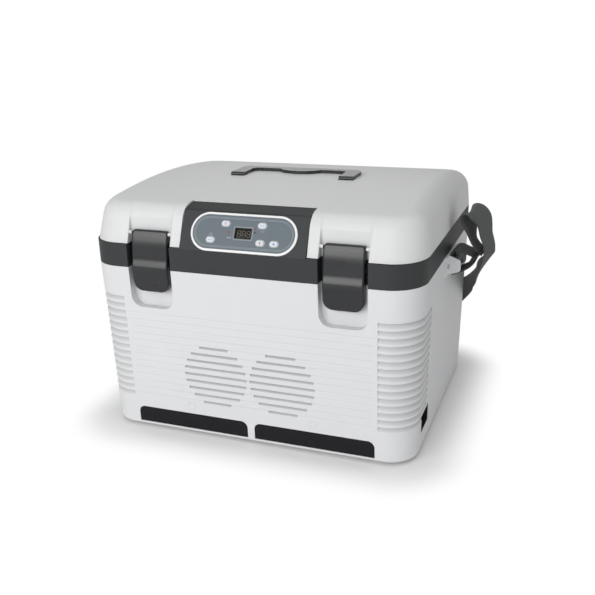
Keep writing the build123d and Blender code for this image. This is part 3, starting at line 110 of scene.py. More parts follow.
world = bpy.data.worlds.new("studio_world")
world.use_nodes = True
bpy.context.scene.world = world
world_nodes = world.node_tree.nodes
world_links = world.node_tree.links
world_nodes.clear()
world_out = world_nodes.new("ShaderNodeOutputWorld")
sky_path = world_nodes.new("ShaderNodeLightPath")
sky_mix = world_nodes.new("ShaderNodeMixShader")
world_links.new(sky_path.outputs["Is Camera Ray"], sky_mix.inputs["Fac"])
lit_strength, seen_strength = 0.30, 1.0
for mix_input, strength in ((1, lit_strength), (2, seen_strength)):
    sky = world_nodes.new("ShaderNodeBackground")
    sky.inputs["Color"].default_value = (1.0, 1.0, 1.0, 1.0)
    sky.inputs["Strength"].default_value = strength
    world_links.new(sky.outputs["Background"], sky_mix.inputs[mix_input])
world_links.new(sky_mix.outputs["Shader"], world_out.inputs["Surface"])

bpy.context.scene.view_settings.view_transform = "Standard"
floor_mesh = bpy.data.meshes.new("floor")
floor_half = 6.0
floor_corners = [(-floor_half, -floor_half, 0), (floor_half, -floor_half, 0)]
floor_corners += [(floor_half, floor_half, 0), (-floor_half, floor_half, 0)]
floor_mesh.from_pydata(floor_corners, [], [(0, 1, 2, 3)])
floor = bpy.data.objects.new("floor", floor_mesh)
bpy.context.scene.collection.objects.link(floor)
print("studio with", len(bpy.data.lights), "lamps and a floor of", 2 * floor_half, "m")

# %% [markdown]
# Helpers for materials
# Every finish starts from a Principled shader. `plain_material` makes one with its plain sockets
# set, and the other helpers put further nodes into its tree, so that the recipes below stay short.
# The last three are for prints and shadows: a distance from a rounded rectangle, and the line or
# the area that such a distance marks off.

# %% Material helpers


def add_node(tree, kind, **values):
    """New node in a tree; values are its properties, or inputs written as in_Name."""
    node = tree.nodes.new(kind)
    for key, value in values.items():
        if key.startswith("in_"):
            node.inputs[key[3:].replace("_", " ")].default_value = value
        else:
            setattr(node, key, value)
    return node


def plain_material(name, colour, roughness, **plain):
    """Material with one Principled shader; plain holds more of its sockets."""
    material = bpy.data.materials.new(name)
    material.use_nodes = True
    tree = material.node_tree
    shader = tree.nodes["Principled BSDF"]
    shader.inputs["Base Color"].default_value = (*colour, 1.0)
    shader.inputs["Roughness"].default_value = roughness
    for key, value in plain.items():
        shader.inputs[key.replace("_", " ")].default_value = value
    return material, tree, shader


def new_group(name, inputs, outputs):
    """Empty shader node group with named sockets: (name, type, default) each."""
    group = bpy.data.node_groups.new(name, "ShaderNodeTree")
    for label, kind, default in inputs:
        socket = group.interface.new_socket(label, in_out="INPUT", socket_type=kind)
        if default is not None:
            socket.default_value = default
    for label, kind, default in outputs:
        group.interface.new_socket(label, in_out="OUTPUT", socket_type=kind)
    way_in = group.nodes.new("NodeGroupInput")
    way_out = group.nodes.new("NodeGroupOutput")
    return group, way_in, way_out


def use_group(tree, group, **values):
    """Places a node group in a material, with its inputs set."""
    node = tree.nodes.new("ShaderNodeGroup")
    node.node_tree = group
    for key, value in values.items():
        node.inputs[key.replace("_", " ")].default_value = value
    return node


def calc(tree, operation, *values, clamp=False):
    """Math node in a tree; each value is a number or another node's output."""
    node = tree.nodes.new("ShaderNodeMath")
    node.operation = operation
    node.use_clamp = clamp
    for socket, value in zip(node.inputs, values):
        if isinstance(value, bpy.types.NodeSocket):
            tree.links.new(value, socket)
        else:
            socket.default_value = value
    return node.outputs["Value"]


# A Mix node has its own sockets for each kind of data, and these numbers are those for colours
COLOUR_INPUTS, COLOUR_OUTPUT = (0, 6, 7), 2


def mix_colour(tree, factor, under, over):
    """Mix node: under where the factor is 0, over where it is 1; colours or sockets."""
    node = tree.nodes.new("ShaderNodeMix")
    node.data_type = "RGBA"
    for number, value in zip(COLOUR_INPUTS, (factor, under, over)):
        if isinstance(value, bpy.types.NodeSocket):
            tree.links.new(value, node.inputs[number])
        else:
            node.inputs[number].default_value = value if isinstance(value, float) else (*value, 1.0)
    return node.outputs[COLOUR_OUTPUT]


def scale_colour(tree, colour, factor):
    """A colour's socket times a number's socket."""
    node = add_node(tree, "ShaderNodeVectorMath", operation="SCALE")
    tree.links.new(colour, node.inputs[0])
    tree.links.new(factor, node.inputs["Scale"])
    return node.outputs["Vector"]


def object_texture(tree, kind, **values):
    """Texture node that reads its point in object space."""
    place = add_node(tree, "ShaderNodeTexCoord")
    texture = add_node(tree, kind, **values)
    tree.links.new(place.outputs["Object"], texture.inputs["Vector"])
    return texture


def object_axes(tree):
    """The X, Y and Z sockets of the point in object space."""
    place = add_node(tree, "ShaderNodeTexCoord")
    axes = add_node(tree, "ShaderNodeSeparateXYZ")
    tree.links.new(place.outputs["Object"], axes.inputs[0])
    return axes.outputs


def add_bump(tree, shader, height, depth, strength=1.0):
    """Bump on a shader, over the bump that it has already: depth is its distance in metres."""
    bump = add_node(tree, "ShaderNodeBump", in_Strength=strength, in_Distance=depth)
    tree.links.new(height, bump.inputs["Height"])
    for link in shader.inputs["Normal"].links:
        tree.links.new(link.from_socket, bump.inputs["Normal"])
    tree.links.new(bump.outputs["Normal"], shader.inputs["Normal"])


def box_distance(tree, across, up, half_across, half_up, corner):
    """Distance from a rounded rectangle: what sticks out past its inner box, less the corner."""
    past_across, past_up = (
        calc(tree, "MAXIMUM", calc(tree, "SUBTRACT", calc(tree, "ABSOLUTE", place), half - corner), 0.0)
        for place, half in ((across, half_across), (up, half_up))
    )
    squares = calc(tree, "MULTIPLY_ADD", past_up, past_up, calc(tree, "MULTIPLY", past_across, past_across))
    return calc(tree, "SUBTRACT", calc(tree, "SQRT", squares), corner)


def line_mask(tree, distance, at, half_width):
    """1 on the line where the distance is at, falling to 0 a half width away."""
    off = calc(tree, "ABSOLUTE", calc(tree, "SUBTRACT", distance, at))
    return calc(tree, "SUBTRACT", 1.0, calc(tree, "DIVIDE", off, half_width), clamp=True)


def area_mask(tree, distance, softness=0.12):
    """1 inside, where the distance is below 0, with a soft edge."""
    return calc(tree, "SUBTRACT", 0.5, calc(tree, "DIVIDE", distance, softness), clamp=True)


# %% [markdown]
# The floor
# The floor glows white for the camera alone, except close to the box, where the lit floor and its
# shadow show. The distance is taken from the box's own rounded outline.

# %% Floor
floor_material, tree, shader = plain_material("studio_floor", (0.90, 0.90, 0.90), 0.9)
tub_half_width = (tub_high[0] - tub_low[0]) / 2
tub_half_depth = (tub_high[1] - tub_low[1]) / 2
tub_corner = 0.044
shadow_reach, least_glow = 0.07, 0.1
ground = object_axes(tree)
reach = box_distance(tree, ground["X"], calc(tree, "SUBTRACT", ground["Y"], middle_y),
                     tub_half_width, tub_half_depth, tub_corner)
far = add_node(tree, "ShaderNodeMapRange", in_From_Min=0.0, in_From_Max=shadow_reach,
               in_To_Min=least_glow, in_To_Max=1.0)
far.interpolation_type = "SMOOTHSTEP"
tree.links.new(reach, far.inputs["Value"])
seen = add_node(tree, "ShaderNodeLightPath")
glow = add_node(tree, "ShaderNodeEmission", in_Strength=1.0)
blend = add_node(tree, "ShaderNodeMixShader")
share = calc(tree, "MULTIPLY", far.outputs["Result"], seen.outputs["Is Camera Ray"])
tree.links.new(share, blend.inputs["Fac"])
tree.links.new(shader.outputs["BSDF"], blend.inputs[1])
tree.links.new(glow.outputs["Emission"], blend.inputs[2])
tree.links.new(blend.outputs["Shader"], tree.nodes["Material Output"].inputs["Surface"])
floor_mesh.materials.append(floor_material)
print("floor shows its shadow up to", shadow_reach, "m from the box")

# %% [markdown]
# Spark grain
# Moulded housings carry a fine spark-eroded grain: tiny rounded pits of about half a millimetre,
# over a slower unevenness. One group makes both from noise in object space, for every plastic here,
# and also lets the colour and the roughness drift a little, as handling and the mould do.

# %% Grain group
FLOAT, COLOUR = "NodeSocketFloat", "NodeSocketColor"
grain_group, way_in, way_out = new_group(
    "spark_grain",
    [("Colour", COLOUR, (0.8, 0.8, 0.8, 1.0)), ("Pit Scale", FLOAT, 1500.0),
     ("Drift", FLOAT, 0.03), ("Roughness", FLOAT, 0.5), ("Rough Drift", FLOAT, 0.05)],
    [("Colour", COLOUR, None), ("Height", FLOAT, None), ("Roughness", FLOAT, None)],
)
tree, links = grain_group, grain_group.links
place = add_node(tree, "ShaderNodeTexCoord")
pits = add_node(tree, "ShaderNodeTexVoronoi", feature="SMOOTH_F1")
pits.inputs["Smoothness"].default_value = 0.6
waves = add_node(tree, "ShaderNodeTexNoise", in_Scale=9.0, in_Detail=4.0)
fine = add_node(tree, "ShaderNodeTexNoise", in_Scale=420.0, in_Detail=2.0)
for texture in (pits, waves, fine):
    links.new(place.outputs["Object"], texture.inputs["Vector"])
links.new(way_in.outputs["Pit Scale"], pits.inputs["Scale"])
height = calc(tree, "MULTIPLY_ADD", pits.outputs["Distance"], 0.7, fine.outputs["Fac"])
links.new(height, way_out.inputs["Height"])
lean = calc(tree, "SUBTRACT", waves.outputs["Fac"], 0.5)
tone = calc(tree, "MULTIPLY_ADD", lean, way_in.outputs["Drift"], 1.0)
links.new(scale_colour(tree, way_in.outputs["Colour"], tone), way_out.inputs["Colour"])
rough = calc(tree, "MULTIPLY_ADD", lean, way_in.outputs["Rough Drift"], way_in.outputs["Roughness"])
links.new(rough, way_out.inputs["Roughness"])


def grained_plastic(name, colour, roughness, pit_scale, depth, drift=0.03, **plain):
    """Plastic with the mould's grain: depth is the bump distance in metres."""
    material, tree, shader = plain_material(name, colour, roughness, **plain)
    grain = use_group(
        tree, grain_group, Colour=(*colour, 1.0), Pit_Scale=pit_scale, Drift=drift,
        Roughness=roughness, Rough_Drift=0.12,
    )
    tree.links.new(grain.outputs["Colour"], shader.inputs["Base Color"])
    tree.links.new(grain.outputs["Roughness"], shader.inputs["Roughness"])
    add_bump(tree, shader, grain.outputs["Height"], depth)
    return material


def paint(material, *names):
    """Gives a material to CAD nodes, in place of the one that they came with."""
    for name in names:
        mesh = nodes[name].data
        mesh.materials.clear()
        mesh.materials.append(material)


# %% [markdown]
# Shade in the grooves
# The ribs, the grille and the faint lines of the front are cut into the tub's face, and light
# reaches less of what lies deeper. The depth is how far a point is inside the tub's own outline, a
# rounded rectangle that leans in by 1.6 degrees, so one group can work it out anywhere on the tub.

# %% Groove shade
tub_lean = math.tan(math.radians(1.6))
band_bottom = 232.0
skin, fall_off = 0.15, 0.6
recess_side, recess_low = 164.0, 178.0
groove_group, way_in, way_out = new_group(
    "groove_shade", [("Strength", FLOAT, 0.5), ("Full Depth", FLOAT, 6.0)], [("Light", FLOAT, None)]
)
tree, links = groove_group, groove_group.links
place = add_node(tree, "ShaderNodeTexCoord")
in_mm = add_node(tree, "ShaderNodeVectorMath", operation="MULTIPLY_ADD")
in_mm.inputs[1].default_value = (1000.0, 1000.0, 1000.0)
in_mm.inputs[2].default_value = (0.0, -1000.0 * middle_y, 0.0)
links.new(place.outputs["Object"], in_mm.inputs[0])
axes = add_node(tree, "ShaderNodeSeparateXYZ")
links.new(in_mm.outputs["Vector"], axes.inputs[0])
outline = box_distance(tree, axes.outputs["X"], axes.outputs["Y"],
                       1000.0 * tub_half_width, 1000.0 * tub_half_depth, 1000.0 * tub_corner)
under_band = calc(tree, "SUBTRACT", band_bottom, axes.outputs["Z"])
drawn_in = calc(tree, "MULTIPLY", under_band, tub_lean)
depth = calc(tree, "MULTIPLY", calc(tree, "ADD", outline, drawn_in), -1.0)
# The finger recesses are wide and well lit, so they are left out
beside = calc(tree, "GREATER_THAN", calc(tree, "ABSOLUTE", axes.outputs["X"]), recess_side)
below = calc(tree, "LESS_THAN", axes.outputs["Z"], recess_low)
counts = calc(tree, "MAXIMUM", beside, below)
depth = calc(tree, "MULTIPLY", calc(tree, "SUBTRACT", depth, skin), counts)
share = calc(tree, "DIVIDE", depth, way_in.outputs["Full Depth"], clamp=True)
share = calc(tree, "POWER", share, fall_off)
taken = calc(tree, "MULTIPLY", share, way_in.outputs["Strength"])
links.new(calc(tree, "SUBTRACT", 1.0, taken), way_out.inputs["Light"])
print("groove shade starts", skin, "mm inside the tub's outline")

# %% Plastics of the casing
shell_white = grained_plastic("shell_white", (0.74, 0.745, 0.755), 0.55, 1400.0, 0.00003)
lid_white = grained_plastic("lid_white", (0.73, 0.735, 0.74), 0.55, 1400.0, 0.00003)
frame_grey = grained_plastic(
    "frame_grey", (0.033, 0.035, 0.037), 0.5, 1100.0, 0.00005, 0.2, Specular_IOR_Level=0.35)
latch_grey = grained_plastic("latch_grey", (0.020, 0.021, 0.023), 0.27, 2200.0, 0.000003, 0.2)
handle_grey = grained_plastic("handle_grey", (0.022, 0.024, 0.026), 0.27, 2200.0, 0.000003)
cover_black = grained_plastic(
    "cover_black", (0.010, 0.010, 0.012), 0.6, 700.0, 0.00012, 0.3, Specular_IOR_Level=0.2)
tub_white = grained_plastic("tub_white", (0.74, 0.745, 0.755), 0.55, 1400.0, 0.00003)
tree = tub_white.node_tree
shader = tree.nodes["Principled BSDF"]
grain_colour = shader.inputs["Base Color"].links[0].from_socket
grooves = use_group(tree, groove_group, Strength=0.55, Full_Depth=6.0)
shaded = scale_colour(tree, grain_colour, grooves.outputs["Light"])
tree.links.new(shaded, shader.inputs["Base Color"])
paint(tub_white, "body_shell")
paint(shell_white, "strap_lug_left", "strap_lug_right", "screw_plugs")
# The two latch channels of the lid fade out softly below its crown
channel_x, channel_half, channel_edge, channel_depth = 0.128, 0.0315, 0.003, 0.0012
fade_low, fade_high, lid_front = 0.296, 0.316, -0.12
tree = lid_white.node_tree
shader = tree.nodes["Principled BSDF"]
axes = object_axes(tree)
from_channel = calc(
    tree, "ABSOLUTE", calc(tree, "SUBTRACT", calc(tree, "ABSOLUTE", axes["X"]), channel_x))
inside = calc(tree, "DIVIDE", calc(tree, "SUBTRACT", channel_half, from_channel), channel_edge, clamp=True)
fade = add_node(tree, "ShaderNodeMapRange", in_From_Min=fade_low, in_From_Max=fade_high,
                in_To_Min=1.0, in_To_Max=0.0)
fade.interpolation_type = "SMOOTHSTEP"
tree.links.new(axes["Z"], fade.inputs["Value"])
in_front = calc(tree, "LESS_THAN", axes["Y"], lid_front)
hollow = calc(tree, "MULTIPLY", calc(tree, "MULTIPLY", inside, fade.outputs["Result"]), in_front)
add_bump(tree, shader, calc(tree, "MULTIPLY", hollow, -1.0), channel_depth)
paint(lid_white, "lid_shell")
paint(frame_grey, "top_frame")
paint(latch_grey, "latch_left", "latch_right")
paint(handle_grey, "carry_handle")
paint(cover_black, "lower_cover_left", "lower_cover_right", "base_plate")
fan_parts = ["fan_frame_left", "fan_frame_right", "fan_rotor_left", "fan_rotor_right",
             "inner_fan_frame", "inner_fan_rotor"]
small_plastics = [
    ("bezel_white", (0.86, 0.86, 0.86), 0.25, 3000.0, 0.000005, ["display_bezel"]),
    ("socket_black", (0.012, 0.012, 0.013), 0.5, 1500.0, 0.00003, ["power_inlet"]),
    ("slider_black", (0.010, 0.010, 0.011), 0.4, 1500.0, 0.00003, ["tri_glide_left", "tri_glide_right"]),
    ("fan_black", (0.018, 0.018, 0.020), 0.45, 1500.0, 0.00003, fan_parts),
    ("liner_grey", (0.66, 0.67, 0.68), 0.3, 2500.0, 0.00001, ["inner_liner", "lid_liner", "cold_guard"]),
    ("rubber_black", (0.016, 0.016, 0.016), 0.85, 900.0, 0.00005, ["rubber_feet", "lid_gasket"]),
]
for name, colour, roughness, pit_scale, depth, painted in small_plastics:
    paint(grained_plastic(name, colour, roughness, pit_scale, depth), *painted)

# %% [markdown]
# The panel's own coordinates
# Everything on the sloping panel is easiest to place on the panel itself: so far along it, so far
# up the slope, so far out of it, in millimetres. One function turns such numbers into points of the
# room for new pieces, and one node group does the same the other way round for the materials.

# %% Panel coordinates
panel_lean = math.radians(28.0)
panel_origin = np.array((0.0, tub_low[1], 0.262))
panel_across = np.array((1.0, 0.0, 0.0))
panel_up = np.array((0.0, math.sin(panel_lean), math.cos(panel_lean)))
panel_out = np.array((0.0, -math.cos(panel_lean), math.sin(panel_lean)))
panel_middle = 24.6


def on_panel(across, up, out):
    """Origin plus the three distances times the panel's three directions, as an array of points."""
    across, up, out = np.broadcast_arrays(across, up, out)
    steps = across[..., None] * panel_across + up[..., None] * panel_up + out[..., None] * panel_out
    return panel_origin + 0.001 * steps


panel_group, way_in, way_out = new_group(
    "panel_place", [], [("Across", FLOAT, None), ("Up", FLOAT, None), ("Out", FLOAT, None)]
)
place = add_node(panel_group, "ShaderNodeTexCoord")
from_origin = add_node(panel_group, "ShaderNodeVectorMath", operation="SUBTRACT")
from_origin.inputs[1].default_value = tuple(panel_origin)
panel_group.links.new(place.outputs["Object"], from_origin.inputs[0])
for label, direction in (("Across", panel_across), ("Up", panel_up), ("Out", panel_out)):
    dot = add_node(panel_group, "ShaderNodeVectorMath", operation="DOT_PRODUCT")
    dot.inputs[1].default_value = tuple(1000.0 * direction)
    panel_group.links.new(from_origin.outputs["Vector"], dot.inputs[0])
    panel_group.links.new(dot.outputs["Value"], way_out.inputs[label])

# %% [markdown]
# Printed film
# The panel's face is a grey-blue film, printed from behind: a thin double line that follows the
# oval, a pale rounded line round the window, small marks beside the lamps and two pale arrows.
# A print like this is drawn with distances: how far a point is from an oval, a rectangle or a disc,
# and a line is where that distance is close to a wanted one. It stays sharp at any zoom.

# %% Film print
film_colour, film_roughness = (0.130, 0.164, 0.184), 0.42
film, tree, shader = plain_material("printed_film", film_colour, film_roughness, Coat_Weight=0.06)
shader.inputs["Specular IOR Level"].default_value = 0.3
shader.inputs["Coat Roughness"].default_value = 0.3
grain = use_group(
    tree, grain_group, Colour=(*film_colour, 1.0), Pit_Scale=2600.0, Drift=0.05,
    Roughness=film_roughness, Rough_Drift=0.1,
)
where = use_group(tree, panel_group)
across = where.outputs["Across"]
up = calc(tree, "SUBTRACT", where.outputs["Up"], panel_middle)
oval = box_distance(tree, across, up, 64.3, 18.0, 17.99)
rings = calc(tree, "MAXIMUM", line_mask(tree, oval, 0.55, 0.42), line_mask(tree, oval, -0.75, 0.42))
window_line = line_mask(tree, box_distance(tree, across, up, 12.3, 7.9, 1.6), 0.0, 0.5)
colour = mix_colour(tree, calc(tree, "MULTIPLY", rings, 0.55), grain.outputs["Colour"], (0.42, 0.46, 0.49))
colour = mix_colour(tree, calc(tree, "MULTIPLY", window_line, 0.75), colour, (0.52, 0.55, 0.57))
button_places = {
    "power_button": (-24.2, 35.5), "mode_button": (23.7, 35.5), "set_button": (-42.0, 14.4),
    "down_button": (23.7, 14.2), "up_button": (41.6, 14.2),
}


def mark_distance(mark_across, mark_up, half_across, half_up, corner):
    """Distance from a rounded mark; its place is counted from the panel's origin, like a button's."""
    return box_distance(
        tree, calc(tree, "SUBTRACT", across, mark_across), calc(tree, "SUBTRACT", up, mark_up - panel_middle),
        half_across, half_up, corner,
    )


for place in button_places.values():
    halo = area_mask(tree, mark_distance(*place, 6.1, 4.1, 4.09), 0.9)
    colour = mix_colour(tree, calc(tree, "MULTIPLY", halo, 0.75), colour, (0.60, 0.63, 0.66))
film_marks = [
    (-16.0, 30.0, 0.55, 0.55, (0.45, 0.16, 0.14)), (-16.0, 24.0, 0.55, 0.55, (0.45, 0.16, 0.14)),
    (-19.3, 18.3, 0.9, 0.5, (0.62, 0.64, 0.66)), (-16.2, 18.3, 0.8, 0.8, (0.50, 0.53, 0.55)),
    (18.4, 30.8, 0.5, 0.5, (0.40, 0.20, 0.20)), (18.2, 26.6, 0.5, 0.5, (0.06, 0.07, 0.08)),
]
for *place, half_across, half_up, ink in film_marks:
    distance = mark_distance(*place, half_across, half_up, 0.98 * min(half_across, half_up))
    colour = mix_colour(tree, area_mask(tree, distance, 0.3), colour, ink)
# An arrow is the area between its two slanting sides and its base
film_arrows = [(-42.3, 25.0, 6.0, 4.6, 1.0), (24.7, 26.2, 3.6, 4.8, -1.0)]
for tip_across, tip_up, height, half_base, way in film_arrows:
    fall = calc(tree, "MULTIPLY", calc(tree, "SUBTRACT", tip_up - panel_middle, up), way)
    side_gap = calc(tree, "SUBTRACT", calc(tree, "MULTIPLY", fall, half_base / height),
                    calc(tree, "ABSOLUTE", calc(tree, "SUBTRACT", across, tip_across)))
    inside = calc(tree, "MINIMUM", side_gap, calc(tree, "SUBTRACT", height, fall))
    mask = calc(tree, "MULTIPLY", calc(tree, "MULTIPLY", inside, 1.2, clamp=True), 0.35)
    colour = mix_colour(tree, mask, colour, (0.36, 0.38, 0.36))
tree.links.new(colour, shader.inputs["Base Color"])
tree.links.new(grain.outputs["Roughness"], shader.inputs["Roughness"])
paint(film, "membrane_panel")
print("film print with", len(film_marks), "small marks and", len(film_arrows), "arrows")

# %% [markdown]
# Window, digits and lamps
# Behind a smoked window lie three seven-segment digits. The digit block is one node: its body is
# dark, and whatever stands further out than the body's face is a pale segment, so the colour is
# picked by the distance out of the panel. The lamps are coloured by their place in the same way.

# %% Window, digits and lamps
window_smoke, tree, shader = plain_material("window_smoke", (0.030, 0.027, 0.022), 0.12, Alpha=0.36)
shader.inputs["Specular IOR Level"].default_value = 0.15
scuffs = use_group(tree, grain_group, Colour=(0.030, 0.027, 0.022, 1.0), Pit_Scale=900.0, Roughness=0.12)
tree.links.new(scuffs.outputs["Roughness"], shader.inputs["Roughness"])
paint(window_smoke, "display_window")

digit_block, tree, shader = plain_material("digit_block", (0.035, 0.032, 0.026), 0.5)
where = use_group(tree, panel_group)
grain = use_group(tree, grain_group, Colour=(0.040, 0.037, 0.030, 1.0), Pit_Scale=1800.0, Drift=0.3)
segment_face = -2.2
raised = calc(tree, "GREATER_THAN", where.outputs["Out"], segment_face)
colour = mix_colour(tree, raised, grain.outputs["Colour"], (0.86, 0.83, 0.76))
tree.links.new(colour, shader.inputs["Base Color"])
tree.links.new(grain.outputs["Roughness"], shader.inputs["Roughness"])
paint(digit_block, "display_module")

lamp_lens, tree, shader = plain_material("lamp_lens", (0.5, 0.04, 0.03), 0.25, Coat_Weight=0.6)
where = use_group(tree, panel_group)
left = calc(tree, "LESS_THAN", where.outputs["Across"], 0.0)
between_rows = 28.5
high = calc(tree, "GREATER_THAN", where.outputs["Up"], between_rows)
blue = calc(tree, "MULTIPLY", left, high)
dark = calc(tree, "MULTIPLY", calc(tree, "SUBTRACT", 1.0, left), calc(tree, "SUBTRACT", 1.0, high))
colour = mix_colour(tree, blue, (0.42, 0.06, 0.05), (0.03, 0.20, 0.50))
colour = mix_colour(tree, dark, colour, (0.035, 0.045, 0.05))
tree.links.new(colour, shader.inputs["Base Color"])
haze = use_group(tree, grain_group, Pit_Scale=2000.0, Roughness=0.25)
tree.links.new(haze.outputs["Roughness"], shader.inputs["Roughness"])
paint(lamp_lens, "indicator_lamps")

# %% [markdown]
# Building surfaces from grids
# New pieces are grids of points, rows by columns, computed as whole arrays. `grid_faces` numbers
# the quads between neighbouring points, closing the grid on itself where it is asked to, and
# `add_piece` makes the mesh, merges its poles, turns every face outwards and lets it ride a body.

# %% Grid surfaces


def grid_faces(rows, columns, around=False, along=False):
    """Quads of a grid: around joins the last column to the first, along the last row to the first."""
    row = np.arange(rows if along else rows - 1)[:, None]
    column = np.arange(columns if around else columns - 1)[None, :]
    below, right = (row + 1) % rows, (column + 1) % columns
    corners = (row * columns + column, row * columns + right,
               below * columns + right, below * columns + column)
    return np.stack(np.broadcast_arrays(*corners), -1).reshape(-1, 4)


def add_piece(name, points, faces, material, body, uv=None, smooth=True):
    """Mesh object from points, faces and an optional UV pair for each face corner, riding a body."""
    mesh = bpy.data.meshes.new(name)
    mesh.from_pydata(points.reshape(-1, 3).tolist(), [], [list(map(int, face)) for face in faces])
    if uv is not None:
        layer = mesh.uv_layers.new(name="weave")
        layer.data.foreach_set("uv", np.asarray(uv, dtype=np.float32).reshape(-1))
    shape = bmesh.new()
    shape.from_mesh(mesh)
    bmesh.ops.remove_doubles(shape, verts=shape.verts, dist=0.000005)
    bmesh.ops.recalc_face_normals(shape, faces=shape.faces)
    shape.to_mesh(mesh)
    shape.free()
    mesh.polygons.foreach_set("use_smooth", [smooth] * len(mesh.polygons))
    mesh.materials.append(material)
    piece = bpy.data.objects.new(name, mesh)
    bpy.context.scene.collection.objects.link(piece)
    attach(piece, body)
    return piece

# %% [markdown]
# The latches
# A latch is a moulded plate with side walls, and light draws two bright bands on it: below its top
# and at the middle, where the plate leans back a little more. So its front is made from its lean:
# the lean is given at a few heights, and adding up the tangent of the lean gives how far the plate
# stands out at each height. Its rim is rounded all the way round, by a quarter circle of the
# distance to the outline, and behind the plate come the barrel for the pin and the hook bar.

# %% Latches
latch_x, latch_half, latch_top, latch_low = 128.0, 25.5, 280.0, 200.5
latch_front, lip_z = -186.0, 271.0
pivot_y, pivot_z, barrel_radius = -174.5, 276.0, 4.5
rim_round, wall_thickness, plate_thickness, least_wall = 2.4, 1.8, 3.0, 0.4
low_corner, top_corner = 13.0, 4.5
latch_corners = ((low_corner, latch_low + low_corner, -1), (top_corner, latch_top - top_corner, 1))
# Height and lean of the front, then height and y of the walls' back edge, from the top down
lean_at = np.array([
    (280.0, 13.0), (276.0, 18.0), (271.6, 18.5), (271.3, 8.0), (271.0, 17.0), (264.0, 11.0), (257.0, 6.0),
    (250.0, 5.0), (245.0, 8.0), (241.0, 16.0), (238.0, 18.0), (235.0, 15.0), (231.0, 3.0), (227.0, -8.0),
    (223.4, -11.0), (223.0, -24.0), (222.6, -4.0), (212.0, -3.0), (200.5, -9.0),
])
back_at = np.array([
    (276.0, -170.0), (262.0, -170.3), (256.5, -177.5), (243.5, -177.5), (242.5, -174.0),
    (213.0, -174.5), (200.5, -176.6),
])


def outline_gap(x, z):
    """Distance inwards from the latch's outline: from a straight side, or from a corner's circle."""
    gap = np.minimum(latch_half - np.abs(x), np.minimum(z - latch_low, latch_top - z))
    for corner, corner_z, way in latch_corners:
        past_x, past_z = np.abs(x) - (latch_half - corner), way * (z - corner_z)
        in_corner = (past_x > 0) & (past_z > 0)
        gap = np.where(in_corner, corner - np.hypot(past_x, past_z), gap)
    return np.clip(gap, 0.0, None)


def latch_shell():
    """Rings around the plate and its walls, one for each height, from the top down."""
    quarter = math.pi / 2
    z = np.concatenate([latch_top - top_corner * (1 - np.cos(np.linspace(0.0, quarter, 14))),
                        np.linspace(275.4, 213.6, 150),
                        latch_low + low_corner * (1 - np.sin(np.linspace(0.0, quarter, 30)))])
    lean = np.radians(np.interp(-z, -lean_at[:, 0], lean_at[:, 1]))
    out = np.concatenate([[0.0], np.cumsum(np.tan((lean[1:] + lean[:-1]) / 2) * -np.diff(z))])
    front = latch_front + (out.max() - out)
    half = np.full(len(z), latch_half)
    for corner, corner_z, way in latch_corners:
        past = np.clip(way * (z - corner_z), 0.0, corner)
        half = half - corner + np.sqrt(corner**2 - past**2)
    back = np.interp(-z, -back_at[:, 0], back_at[:, 1])
    barrel = pivot_y + np.sqrt(np.clip(barrel_radius**2 - (z - pivot_z) ** 2, 0.0, None))
    back = np.where(z > pivot_z, barrel, back)
    back = np.maximum(back, front + plate_thickness + least_wall)
    inner = np.where(z > lip_z, back, np.minimum(front + plate_thickness, back))
    spread = np.sin(np.linspace(-quarter, quarter, 37))
    x = half[:, None] * spread
    from_rim = rim_round - np.minimum(outline_gap(x, z[:, None]), rim_round)
    drop = rim_round - np.sqrt(np.clip(rim_round**2 - from_rim**2, 0, None))
    outer = np.stack(np.broadcast_arrays(x, front[:, None] + drop, z[:, None]), -1)
    inside = (half - wall_thickness)[:, None] * spread[::-4]
    hollow = np.stack(np.broadcast_arrays(inside, inner[:, None], z[:, None]), -1)
    rims = [np.stack([way * (half - step), back, z], -1)[:, None]
            for way, step in ((1, 0.0), (1, wall_thickness), (-1, wall_thickness), (-1, 0.0))]
    return np.concatenate([outer, rims[0], rims[1], hollow, rims[2], rims[3]], 1)


def prism(outline, half):
    """Closed bar across x: an outline of (y, z) points at both ends, as two rings."""
    outline = np.asarray(outline, float)
    ends = [np.concatenate([np.full((len(outline), 1), side), outline], 1) for side in (-half, half)]
    return np.stack(ends)


def join_rings(grids):
    """Points and faces of several tubes of rings, each with its two ends closed."""
    points, faces, start = [], [], 0
    for grid in grids:
        rows, columns = grid.shape[:2]
        faces += (grid_faces(rows, columns, around=True) + start).tolist()
        faces += [[start + end + c for c in range(columns)] for end in (0, (rows - 1) * columns)]
        points.append(grid.reshape(-1, 3))
        start += rows * columns
    return np.concatenate(points), faces


circle = np.linspace(0.0, 2 * math.pi, 33)[:-1]
hook_bar = [(-181.0, 242.0), (-179.5, 242.6), (-178.0, 246.5), (-180.2, 246.5), (-181.0, 249.5)]
hook_half = 20.0
collar_radius, collar_half, collar_x = 2.2, 2.3, 28.3
collar_outline = np.stack([pivot_y + collar_radius * np.cos(circle),
                           pivot_z + collar_radius * np.sin(circle)], 1)
for name, way in (("left", -1), ("right", 1)):
    centre = np.array((way * latch_x, 0.0, 0.0))
    place = np.array((0.0, middle_y, 0.0))
    points, faces = join_rings([latch_shell(), prism(hook_bar, hook_half)])
    piece = add_piece(f"latch_plate_{name}", 0.001 * (points + centre) + place, faces,
                      latch_grey, f"latch_{name}")
    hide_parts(f"latch_{name}")
    # Small collars of the lid cover the dark ends of the pin
    points, faces = join_rings(
        [prism(collar_outline, collar_half) + (side * collar_x, 0.0, 0.0) for side in (-1, 1)])
    add_piece(f"latch_collars_{name}", 0.001 * (points + centre) + place, faces,
              lid_white, "lid", smooth=False)
print("latches", 2 * latch_half, "mm wide and", latch_top - latch_low, "mm tall")

